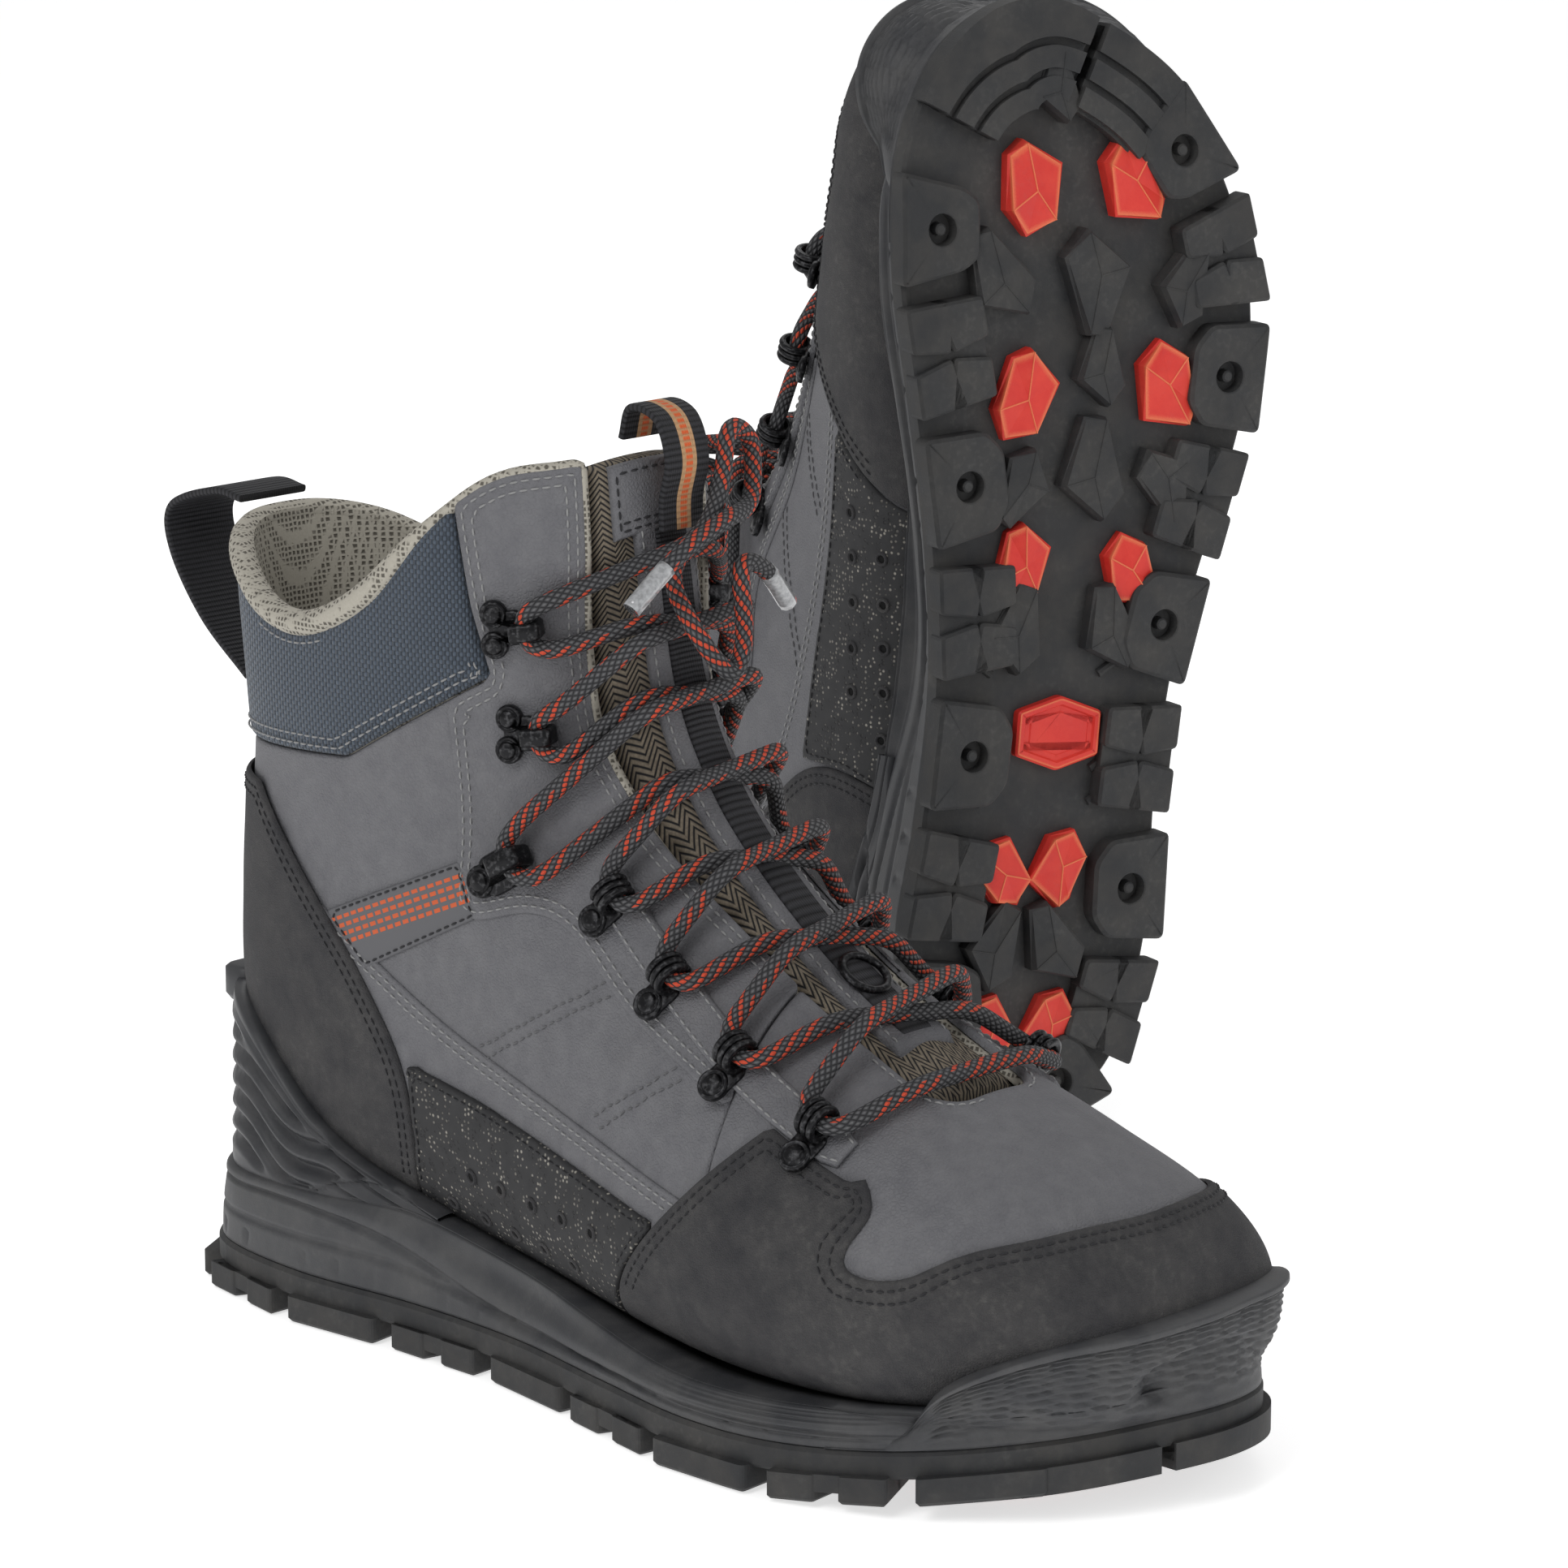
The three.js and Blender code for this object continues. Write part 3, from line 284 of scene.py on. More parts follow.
class Panel:
    """A piece of the last's surface where field is above zero. data holds u, angle and edge distance."""

    def __init__(self, field, us, angles, step=(0.07, 2.0), levels=(0.3, 1.0)):
        nu = int((us[1] - us[0]) / step[0]) + 2
        na = int((angles[1] - angles[0]) / step[1]) + 2
        u, a = np.meshgrid(np.linspace(*us, nu), np.linspace(*angles, na), indexing="ij")
        u, a = u.ravel(), a.ravel()
        i = (np.arange(nu - 1)[:, None] * na + np.arange(na - 1)).ravel()
        faces = np.vstack([np.stack([i, i + na, i + na + 1], 1), np.stack([i, i + na + 1, i + 1], 1)])
        self.field = field
        data = np.stack([u, a, self.distance(u, a)], 1)
        faces = faces[(data[faces, 2] > -6).any(1)]
        data, faces = split(data, faces, data[:, 2], True)
        for level in levels:
            data, faces = split(data, faces, data[:, 2] - level, False)
        self.data, self.faces = compact(data, faces)
        self.faces = self.faces[np.linalg.norm(self.directions(), axis=1) > 1e-5]
        out = last_frame(self.u, self.a)[0][self.faces[:, 0]]
        wrong = (self.directions() * out).sum(1) < 0
        self.faces[wrong] = self.faces[wrong][:, ::-1]

    u = property(lambda self: self.data[:, 0])
    a = property(lambda self: self.data[:, 1])
    d = property(lambda self: self.data[:, 2])

    def directions(self):
        """Each face's direction, as long as twice its area."""
        a, b, c = (last(self.u, self.a)[self.faces[:, k]] for k in range(3))
        return np.cross(b - a, c - a)

    def distance(self, u, a):
        """Distance from the edge along the surface, to first order."""
        f = self.field(last(u, a), u, a)
        eu, ea = 0.03, 1.0
        u2 = np.minimum(u, TOP - eu)
        here = last(u2, a)
        pu, pa = (last(u2 + eu, a) - here) / eu, (last(u2, a + ea) - here) / ea
        f2 = self.field(here, u2, a)
        fu = (self.field(last(u2 + eu, a), u2 + eu, a) - f2) / eu
        fa = (self.field(last(u2, a + ea), u2, a + ea) - f2) / ea
        uu, aa, ua = (pu * pu).sum(-1), (pa * pa).sum(-1), (pu * pa).sum(-1)
        slope = (aa * fu**2 - 2 * ua * fu * fa + uu * fa**2) / np.maximum(uu * aa - ua**2, 1e-9)
        return f / np.clip(np.sqrt(slope), 0.25, 4)

    def solid(self, low, high, rounding=1.0, puff=0.0, puff_width=8.0, shape=None):
        """Points and faces of the closed piece between two lifts, with its outer edge rounded over."""
        edge = np.sqrt(np.clip(1 - (1 - np.clip(self.d / rounding, 0, 1)) ** 2, 0, 1))
        lift = low + 0.15 + (high - low - 0.15) * edge + puff * (1 - np.exp(-self.d / puff_width))
        if shape is not None:
            lift = lift + shape(last(self.u, self.a), self) * edge
        base = last(self.u, self.a)
        out = last_frame(self.u, self.a)[0]
        n = len(base)
        points = np.vstack([base + out * lift[:, None], base + out * low])
        pairs = np.vstack([self.faces[:, [0, 1]], self.faces[:, [1, 2]], self.faces[:, [2, 0]]])
        _, first, count = np.unique(np.sort(pairs, 1), axis=0, return_index=True, return_counts=True)
        rim = pairs[first[count == 1]]
        walls = np.stack([rim[:, 1], rim[:, 0], rim[:, 0] + n, rim[:, 1] + n], 1)
        return points, [self.faces, self.faces[:, ::-1] + n, walls]

    def lines(self, level):
        """The lines at one distance from the edge, as lists of (u, angle)."""
        sign = self.d > level
        count = sign[self.faces].sum(1)
        mixed = self.faces[(count == 1) | (count == 2)]
        links = {}
        spots = {}
        for face in mixed:
            ends = []
            for i, j in ((0, 1), (1, 2), (2, 0)):
                i, j = sorted((int(face[i]), int(face[j])))
                if sign[i] != sign[j]:
                    t = (level - self.d[i]) / (self.d[j] - self.d[i])
                    spots[(i, j)] = self.data[i, :2] * (1 - t) + self.data[j, :2] * t
                    ends.append((i, j))
            links.setdefault(ends[0], []).append(ends[1])
            links.setdefault(ends[1], []).append(ends[0])
        chains = []
        while links:
            start = next((k for k, v in links.items() if len(v) == 1), next(iter(links)))
            chain, here = [start], start
            while links.get(here):
                there = links[here].pop()
                links[there].remove(here)
                if not links[here]:
                    del links[here]
                chain.append(there)
                here = there
            links.pop(here, None)
            if len(chain) > 4:
                chains.append(np.array([spots[k] for k in chain]))
        return chains


# ---- Shared shader effects ----------------------------------------------------------------------------
def srgb(r, g, b):
    """A colour from 0 to 255 a channel, as linear values."""
    return (*[((c / 255 + 0.055) / 1.055) ** 2.4 for c in (r, g, b)], 1)


def add(tree, kind, inputs=None, **settings):
    """A shader node with its settings, and its inputs set or linked."""
    node = tree.nodes.new(kind)
    for key, value in settings.items():
        setattr(node, key, value)
    for key, value in (inputs or {}).items():
        if isinstance(value, bpy.types.NodeSocket):
            tree.links.new(value, node.inputs[key])
        else:
            node.inputs[key].default_value = value
    return node


def calculate(tree, operation, a, b=0.0, clamp=False):
    return add(tree, "ShaderNodeMath", {0: a, 1: b}, operation=operation, use_clamp=clamp).outputs[0]


def scaled(tree, a, b):
    return calculate(tree, "MULTIPLY", a, b)


def ramp(tree, value, low, high, to_low=0.0, to_high=1.0):
    node = add(tree, "ShaderNodeMapRange", {0: value, 1: low, 2: high, 3: to_low, 4: to_high})
    return node.outputs[0]


def ridges(tree, value, period):
    """Round ridges: 0 at each whole period of the value, 1 half way between."""
    wave = calculate(tree, "SINE", scaled(tree, value, math.pi / period))
    return calculate(tree, "ABSOLUTE", wave)


def bars(tree, value, period, share):
    """1 over the first share of each period of the value, 0 over the rest."""
    return calculate(tree, "LESS_THAN", calculate(tree, "FRACT", calculate(tree, "DIVIDE", value, period)),
                     share)


def mixed(tree, mask, a, b):
    """Colour a where the mask is 0, colour b where it is 1."""
    return add(tree, "ShaderNodeMix", {0: mask, 6: a, 7: b}, data_type="RGBA").outputs[2]


def group(name, inputs, outputs):
    """An empty node group with the sockets given as (name, type)."""
    tree = bpy.data.node_groups.new(name, "ShaderNodeTree")
    for label, kind in inputs:
        tree.interface.new_socket(label, in_out="INPUT", socket_type=kind)
    for label, kind in outputs:
        tree.interface.new_socket(label, in_out="OUTPUT", socket_type=kind)
    return tree, tree.nodes.new("NodeGroupInput").outputs, tree.nodes.new("NodeGroupOutput")


def paint(tree, shader, mask, a, b):
    """Sets the surface's colour: a where the mask is 0, b where it is 1."""
    tree.links.new(mixed(tree, mask, a, b), shader.inputs["Base Color"])


VALUE, COLOUR, VECTOR = "NodeSocketFloat", "NodeSocketColor", "NodeSocketVector"


def make_grain():
    """The pebbled surface of leather: small cells with creases between them, and a fine nap."""
    tree, given, made = group("grain", [("Place", VECTOR), ("Cells", VALUE)], [("Height", VALUE)])
    cells = add(tree, "ShaderNodeTexVoronoi", {"Vector": given["Place"], "Scale": given["Cells"]},
                feature="DISTANCE_TO_EDGE")
    crease = ramp(tree, cells.outputs["Distance"], 0.0, 0.25)
    nap = add(tree, "ShaderNodeTexNoise", {"Vector": given["Place"], "Scale": 3.0, "Detail": 3.0})
    height = calculate(tree, "ADD", crease, scaled(tree, nap.outputs[0], 0.8))
    tree.links.new(height, made.inputs["Height"])
    return tree


def make_dust():
    """Dry dust: broad pale clouds, stronger low on the boot, with small scuffs."""
    tree, given, made = group(
        "dust", [("Place", VECTOR), ("Colour", COLOUR), ("Dust", COLOUR),
                 ("Amount", VALUE)], [("Colour", COLOUR)]
    )
    clouds = add(tree, "ShaderNodeTexNoise", {"Vector": given["Place"], "Scale": 0.045, "Detail": 6.0})
    scuffs = add(tree, "ShaderNodeTexNoise", {"Vector": given["Place"], "Scale": 0.5, "Detail": 4.0})
    cloud = ramp(tree, clouds.outputs[0], 0.38, 0.68)
    scuff = ramp(tree, scuffs.outputs[0], 0.5, 0.75, 0.35, 1.0)
    low = ramp(tree, add(tree, "ShaderNodeSeparateXYZ", {0: given["Place"]}).outputs[2], 130.0, 10.0, 0.4,
               1.0)
    mask = scaled(tree, calculate(tree, "MULTIPLY", cloud, scuff), low)
    mask = calculate(tree, "MULTIPLY", mask, given["Amount"], clamp=True)
    tree.links.new(mixed(tree, mask, given["Colour"], given["Dust"]), made.inputs["Colour"])
    return tree


def make_weave():
    """A plain weave from a place in millimetres: thread height, and which of the two threads is on top."""
    tree, given, made = group("weave", [("Place", VECTOR), ("Pitch", VALUE)],
                              [("Height", VALUE), ("Warp", VALUE)])
    axes = add(tree, "ShaderNodeSeparateXYZ", {0: given["Place"]})
    turns = [calculate(tree, "DIVIDE", axes.outputs[k], given["Pitch"]) for k in (0, 1)]
    waves = [calculate(tree, "SINE", scaled(tree, t, math.pi)) for t in turns]
    cells = [calculate(tree, "FLOOR", t) for t in turns]
    odd = calculate(tree, "MODULO", calculate(tree, "ABSOLUTE", calculate(tree, "ADD", *cells)), 2.0)
    across, along = [calculate(tree, "ABSOLUTE", w) for w in waves]
    one = scaled(tree, calculate(tree, "MULTIPLY", across, along), odd)
    other = scaled(tree, across, calculate(tree, "SUBTRACT", 1.0, odd))
    tree.links.new(calculate(tree, "ADD", calculate(tree, "SQRT", one), other), made.inputs["Height"])
    tree.links.new(odd, made.inputs["Warp"])
    return tree


GRAIN, DUST, WEAVE = make_grain(), make_dust(), make_weave()
DRY_DUST = srgb(116, 114, 110)


def effect(tree, node_group, inputs):
    return add(tree, "ShaderNodeGroup", inputs, node_tree=node_group)


def start_material(name, roughness, metallic=0.0, specular=0.35):
    """A new material, its tree, its shader, and the place on the boot in millimetres."""
    material = bpy.data.materials.new(name)
    material.use_nodes = True
    tree = material.node_tree
    shader = tree.nodes["Principled BSDF"]
    shader.inputs["Roughness"].default_value = roughness
    shader.inputs["Metallic"].default_value = metallic
    shader.inputs["Specular IOR Level"].default_value = specular
    place = add(tree, "ShaderNodeAttribute", attribute_name="place").outputs["Vector"]
    return material, tree, shader, place


def woven_place(tree):
    return add(tree, "ShaderNodeUVMap", uv_map="weave").outputs[0]


def raise_surface(tree, shader, height, distance, strength=1.0):
    bump = add(tree, "ShaderNodeBump", {"Height": height, "Distance": distance * MM, "Strength": strength})
    tree.links.new(bump.outputs[0], shader.inputs["Normal"])


def leather(name, colour, worn, cells, dust, roughness=0.72, depth=0.12):
    """Nubuck or grained leather: mottled colour, pebble grain and dry dust."""
    material, tree, shader, place = start_material(name, roughness)
    mottle = add(tree, "ShaderNodeTexNoise",
                 {"Vector": place, "Scale": 0.16, "Detail": 8.0, "Roughness": 0.65})
    tone = mixed(tree, ramp(tree, mottle.outputs[0], 0.35, 0.7), colour, worn)
    dusty = effect(tree, DUST, {"Place": place, "Colour": tone, "Dust": DRY_DUST, "Amount": dust})
    tree.links.new(dusty.outputs[0], shader.inputs["Base Color"])
    grain = effect(tree, GRAIN, {"Place": place, "Cells": cells})
    raise_surface(tree, shader, grain.outputs[0], depth)
    tree.links.new(ramp(tree, mottle.outputs[0], 0.3, 0.7, roughness - 0.1, roughness + 0.12),
                   shader.inputs["Roughness"])
    return material


def rubber(name, colour, worn, dust, roughness=0.62, speck=0.35):
    """Moulded rubber: a fine matt texture with paler, dusty patches."""
    material, tree, shader, place = start_material(name, roughness, specular=0.4)
    patches = add(tree, "ShaderNodeTexNoise",
                  {"Vector": place, "Scale": 0.08, "Detail": 7.0, "Roughness": 0.6})
    tone = mixed(tree, ramp(tree, patches.outputs[0], 0.4, 0.68), colour, worn)
    dusty = effect(tree, DUST, {"Place": place, "Colour": tone, "Dust": DRY_DUST, "Amount": dust})
    tree.links.new(dusty.outputs[0], shader.inputs["Base Color"])
    pits = add(tree, "ShaderNodeTexNoise", {"Vector": place, "Scale": 2.2, "Detail": 3.0})
    raise_surface(tree, shader, pits.outputs[0], speck * 0.2)
    tree.links.new(ramp(tree, patches.outputs[0], 0.3, 0.7, roughness - 0.08, roughness + 0.15),
                   shader.inputs["Roughness"])
    return material


def thread(name, colour):
    """Twisted sewing thread."""
    material, tree, shader, place = start_material(name, 0.6)
    fibres = add(tree, "ShaderNodeTexNoise", {"Vector": place, "Scale": 4.0, "Detail": 2.0})
    dark = tuple(c * 0.55 for c in colour[:3]) + (1,)
    paint(tree, shader, fibres.outputs[0], dark, colour)
    raise_surface(tree, shader, fibres.outputs[0], 0.15)
    return material


pale_thread = thread("pale_thread", srgb(160, 160, 160))
grey_thread = thread("grey_thread", srgb(112, 112, 114))
dark_thread = thread("dark_thread", srgb(44, 44, 47))


# ---- Laces --------------------------------------------------------------------------------------------
# One round braided lace in each boot. It runs under the first pass at the throat, up through four loops
# on each side, round the three hooks above them, and is tied in a bow; each end has a clear plastic tip.
LACE = 4.6
LOOP_STATIONS = [4.05, 5.0, 5.95, 6.95]
LOOP_ANGLE = 43
HOOKS = [  # station, angle, size, rivets
    (8.25, 58, 1.2, [(-9, 0)]),
    (9.55, 47, 1.0, [(-8, -4), (-7, 4)]),
    (11.3, 47, 1.0, [(-8, -4), (-7, 4)]),
]
UPPER_LAYER = 1.8
OVERLAY = (2.1, 3.4)
LOOP_LIFT = 3.7
HOOK_LIFT = 2.5
BORE = (1.5, 4.4)  # a loop's bore from its anchor: towards the tongue, and out
PASS_ANGLE = 19
LOW_PASS, HIGH_PASS = 6, 11.9
CROSSINGS = [4.52, 5.48, 6.45, 7.55, 8.9, 10.2]
KNOT_STATION = 11.6
UPPER_BOW = [
    (0, 0, 11), (10, 12, 10.5), (16, 28, 9.5), (27, 23, 7), (21, 6, 10), (3, 4, 16), (-13, -2, 15), (-27,
        -14, 10),
]
LOWER_BOW = [
    (10, -3, 5.2), (-1, -2, 4.6), (-9, -9, 6.5), (-11, -24, 16.5), (-1, -36, 17), (5, -26, 17), (6, -6, 17),
    (17, -9, 15), (29, -20, 10),
]


def anchor(u, angle, forward, rise, lift):
    out, ahead, up = last_frame(u, angle)
    return last(u, angle) + out * lift + ahead * forward + up * rise


def lace_end(first_side, bow):
    stops = [[(u, LOOP_ANGLE, BORE[0], rise, LOOP_LIFT + BORE[1]) for rise in (-6, 6)] for u in LOOP_STATIONS]
    for u, angle, size, _ in HOOKS:
        turn = [(7.5, -6.4), (1.3, -3.7), (1.3, 3.7), (7.5, 6.4)]
        stops.append([(u, angle, f * size, r * size, HOOK_LIFT + 3.9 * size) for f, r in turn])
    route = []
    for i, stop in enumerate(stops):
        side = -first_side if i % 2 else first_side
        route += [anchor(u, side * angle, *offsets) for u, angle, *offsets in stop]
        if i == len(CROSSINGS):
            break
        over = (i % 2 == 0) == (first_side > 0)
        lift = (HIGH_PASS if over else LOW_PASS) + (0.9 if i > 2 else 0)
        route += [anchor(CROSSINGS[i] + s * 0.14, -s * side * PASS_ANGLE, 0, 0, lift) for s in (-1, 1)]
    return route + [anchor(KNOT_STATION, 0.01, *offsets) for offsets in bow]


def tube(path, radius, sides=12, around=0.0):
    """Points, faces and weave coordinates (length and turn, in millimetres) of a round tube with closed ends."""
    path = np.asarray(path, float)
    radius = np.broadcast_to(np.asarray(radius, float), len(path))
    run = unit(np.gradient(path, axis=0))
    side = np.cross(run[0], [0.0, 0, 1])
    if np.linalg.norm(side) < 0.1:
        side = np.cross(run[0], [1.0, 0, 0])
    sideways = []
    for r in run:
        side = side - r * side.dot(r)
        side = side / np.linalg.norm(side)
        sideways.append(side)
    sideways = np.array(sideways)
    other = np.cross(run, sideways)
    turn = np.linspace(0, 2 * math.pi, sides + 1) + around
    cos, sin = np.cos(turn)[None, :, None], np.sin(turn)[None, :, None]
    points = path[:, None] + radius[:, None, None] * (cos * sideways[:, None] + sin * other[:, None])
    gone = np.concatenate([[0], np.cumsum(np.linalg.norm(np.diff(path, axis=0), axis=1))])
    uv = np.stack(np.broadcast_arrays(gone[:, None], (turn - around)[None] * radius.mean()), -1)
    n, s = len(path), sides + 1
    i = (np.arange(n - 1)[:, None] * s + np.arange(sides)).ravel()
    walls = np.stack([i, i + 1, i + s + 1, i + s], 1)
    caps = [np.arange(sides)[None, ::-1], (n - 1) * s + np.arange(sides)[None]]
    return points.reshape(-1, 3), [walls, *caps], uv.reshape(-1, 2)


def joined(parts):
    """Several (points, faces) or (points, faces, uv) as one."""
    points, faces, start = [], [], 0
    for part in parts:
        points.append(part[0])
        faces += [f + start for f in part[1]]
        start += len(part[0])
    merged = {}
    for f in faces:
        merged.setdefault(f.shape[1], []).append(f)
    faces = [np.vstack(group) for group in merged.values()]
    uv = np.vstack([p[2] for p in parts]) if len(parts[0]) > 2 else None
    return np.vstack(points), faces, uv


def braided_lace():
    """Dark round braid with pairs of orange flecks, its strands painted pale on their crowns with shade painted
    into the grooves between them.
    """
    material, tree, shader, place = start_material("lace_braid", 0.75)
    axes = add(tree, "ShaderNodeSeparateXYZ", {0: woven_place(tree)})
    length, turn = axes.outputs[0], axes.outputs[1]
    strands = []
    for hand in (1, -1):
        phase = calculate(tree, "ADD", scaled(tree, length, 1.25), scaled(tree, turn, hand * 1.74))
        strands.append(calculate(tree, "ABSOLUTE", calculate(tree, "SINE", phase)))
    braid = calculate(tree, "MULTIPLY", *strands)
    slanted = calculate(tree, "ADD", length, scaled(tree, turn, 1.39))
    cell = add(tree, "ShaderNodeCombineXYZ", {
        0: calculate(tree, "FLOOR", calculate(tree, "DIVIDE", slanted, 10.05)),
        1: calculate(tree, "FLOOR", calculate(tree, "DIVIDE", turn, 3.62)),
    })
    chance = add(tree, "ShaderNodeTexWhiteNoise", {"Vector": cell.outputs[0]},
                 noise_dimensions="3D").outputs[0]
    within = bars(tree, slanted, 5.026, 0.5)
    fleck = scaled(tree, calculate(tree, "GREATER_THAN", chance, 0.5), within)
    fleck = scaled(tree, fleck, calculate(tree, "GREATER_THAN", braid, 0.3))
    # Painted shade: the braid is dark where the strands dip and pale where they stand up.
    dark = mixed(tree, braid, srgb(34, 34, 37), srgb(104, 104, 106))
    paint(tree, shader, fleck, dark, srgb(208, 78, 52))
    raise_surface(tree, shader, braid, 0.6)
    return material


def clear_tip():
    material, tree, shader, place = start_material("lace_tip", 0.18, specular=0.6)
    haze = add(tree, "ShaderNodeTexNoise", {"Vector": place, "Scale": 0.8, "Detail": 2.0})
    paint(tree, shader, haze.outputs[0], srgb(96, 96, 98), srgb(196, 198, 200))
    shader.inputs["Coat Weight"].default_value = 0.8
    return material


lace_stops = np.array([
    *lace_end(1, UPPER_BOW)[::-1],
    anchor(3.74, PASS_ANGLE, 0, 0, LOW_PASS), anchor(3.74, -PASS_ANGLE, 0, 0, LOW_PASS),
    *lace_end(-1, LOWER_BOW),
])


def rounded(points, size, steps=5):
    """The same line with each corner replaced by a short curve."""
    points = np.asarray(points, float)
    rows = [points[:1]]
    for a, b, c in zip(points, points[1:], points[2:]):
        before = b + (a - b) * min(0.45, size / max(np.linalg.norm(a - b), 1e-6))
        after = b + (c - b) * min(0.45, size / max(np.linalg.norm(c - b), 1e-6))
        t = np.linspace(0, 1, steps)[:, None]
        rows.append(before * (1 - t) ** 2 + 2 * b * t * (1 - t) + after * t**2)
    return np.vstack([*rows, points[-1:]])


def respaced(points, pitch):
    """The line with evenly spaced points."""
    gone = np.concatenate([[0], np.cumsum(np.linalg.norm(np.diff(points, axis=0), axis=1))])
    even = np.linspace(0, gone[-1], int(gone[-1] / pitch) + 2)
    return np.stack([np.interp(even, gone, points[:, k]) for k in range(3)], 1), gone[-1]


LACE_PITCH = 1.6
lace_path, lace_length = respaced(rounded(lace_stops, 7), LACE_PITCH)
TIP_LENGTH = 17
tip_points = int(TIP_LENGTH / LACE_PITCH)
lace_tips = [lace_path[:tip_points], lace_path[-tip_points:]]
lace_tube = tube(lace_path, LACE / 2)
lace_piece = fit("lace", *lace_tube[:2], braided_lace(), "lacing", ["lace"], uv=lace_tube[2])
tips = joined([tube(t, LACE / 2 + 0.25, 10) for t in lace_tips])
tip_piece = fit("lace_tips", *tips[:2], clear_tip(), "lacing")
for side in SIDES:
    turn, shift = PLACING[side]
    route = (lace_path @ turn.T + shift) * MM


# ---- Seams: rows of single stitches -------------------------------------------------------------------
def stitch_row(points, outs, pitch=2.9, length=2.2, radius=0.3):
    """Small rounded stitches along a line that lies on a surface whose outward directions are given."""
    gone = np.concatenate([[0], np.cumsum(np.linalg.norm(np.diff(points, axis=0), axis=1))])
    count = int(gone[-1] / pitch)
    if count < 1:
        return None
    middles = (np.arange(count) + 0.5) * gone[-1] / count

    def at(where, values):
        return np.stack([np.interp(where, gone, values[:, k]) for k in range(3)], 1)

    a, b = at(middles - length / 2, points), at(middles + length / 2, points)
    out = unit(at(middles, outs))
    side = unit(np.cross(b - a, out))
    rings = []
    for t, size, rise in ((0, 0.35, -0.1), (0.2, 0.9, 0.12), (0.5, 1, 0.2), (0.8, 0.9, 0.12),
                          (1, 0.35, -0.1)):
        centre = a + (b - a) * t + out * rise
        for k in range(6):
            turn = math.pi / 3 * k
            rings.append(centre + radius * size * (math.cos(turn) * side + math.sin(turn) * out))
    points = np.stack(rings, 1).reshape(-1, 3)
    faces = [np.array([[r * 6 + k, r * 6 + (k + 1) % 6, (r + 1) * 6 + (k + 1) % 6, (r + 1) * 6 + k]
                       for r in range(4) for k in range(6)])]
    faces.append(np.array([[5, 4, 3, 2, 1, 0], [24, 25, 26, 27, 28, 29]]))
    step = (np.arange(count) * 30)[:, None, None]
    return points, [(f[None] + step).reshape(-1, f.shape[1]) for f in faces]


def seams(name, panel, lift, offsets, material, keep=None, slot="lacing", **sizes):
    """Rows of stitches along a panel's edge, at the given distances in from it."""
    rows = []
    for offset in offsets:
        for line in panel.lines(offset):
            u, angle = line[:, 0], line[:, 1]
            wanted = np.ones(len(u), bool) if keep is None else keep(last(u, angle), u, angle)
            starts = np.flatnonzero(np.diff(np.concatenate([[False], wanted, [False]]).astype(int)))
            for i, j in zip(starts[::2], starts[1::2]):
                if j - i > 3:
                    spots = on_last(u[i:j], angle[i:j], lift + 0 * u[i:j])
                    row = stitch_row(spots, last_frame(u[i:j], angle[i:j])[0], **sizes)
                    if row:
                        rows.append(row)
    points, faces, _ = joined(rows)
    return fit(name, points, faces, material, slot)


# ---- Areas of the upper -------------------------------------------------------------------------------
THROAT = 3.5
COLLAR_LINE = [(-20, 207), (4, 207), (22, 202), (45, 191), (66, 189), (88, 199), (108, 218), (126, 232),
               (142, 236)]
below_collar = side_view([*spline(COLLAR_LINE), (190, 230), (400, 150), (400, -40), (-60, -40), (-60, 207)])
on_collar_cloth = side_view([
    (-30, 152), (20, 151), (60, 154), (76, 155), (92, 164), (122, 181), (119, 200), (115, 240), (-30, 240),
])
TOE_SEAM = 214
LOWEST = 25  # height at which the upper's pieces end, behind the midsole
TOE_OVERLAY = side_view([
    *spline([(172, 12), (180, 34), (195, 53), (213, 71), (228, 85), (240, 98)]), (262, 100), (400,
        100), (400, 12),
])
TOE_WINDOW = plan_view(spline([
    (150, -36), (234, -36), (262, -44), (258, -54), (268, -60), (282, -47), (300, -28), (307, 0), (301, 32),
    (280, 48), (262, 46), (234, 34), (150, 34),
]))
HEEL_OVERLAY = side_view([
    *spline([(70, 12), (88, 34), (96, 56), (93, 76), (78, 96), (58, 118), (38, 142)]), (-40, 142), (-40, 12),
])
SIDE_PANEL = side_view([
    *spline([(96.6, 76.5), (130, 71), (165, 64), (199, 57.6)]), *spline([(194, 52.3), (179, 34), (171, 12)]),
    *spline([(71, 12), (89, 34), (97, 56)]),
])
FACING = side_view([  # the panel that carries the lacing, its lower edge a long double seam
    *spline([(106, 260), (111, 150), (113, 119), (136, 122), (150, 119), (173, 104), (202, 92), (228, 83)]),
    (262, 80), (300, 150), (200, 260),
])
LOWER_STRIP = side_view([  # a strip of the same leather above the side panel
    *spline([(40, 124), (57, 115), (85, 100), (118, 86), (160, 75), (207, 65), (222, 62)]),
    (230, 20), (60, 20), (30, 100),
])


def gap_half(u):
    return 17 + 4 * smoothstep((u - THROAT) / 8)


def beside_gap(p, u, angle, grow=0.0, corner=9.0):
    """Distance from the lacing gap, whose lower end is round."""
    qx = np.abs(p[..., 1]) - gap_half(u) - grow + corner
    qy = (THROAT - u) * 31 - grow + corner
    away = np.hypot(np.maximum(qx, 0), np.maximum(qy, 0)) + np.minimum(np.maximum(qx, qy), 0) - corner
    behind = np.abs((np.asarray(angle) + 180) % 360 - 180) > 100
    return np.where(behind, 50, away)


def all_of(*areas):
    """An area where all the given ones overlap, as a field for Panel."""
    return lambda p, u, angle: np.minimum.reduce([np.broadcast_to(a(p, u, angle),
        np.shape(u)) for a in areas])


def seen_from(view, grow=0.0):
    return lambda p, u, angle: view(p) + grow


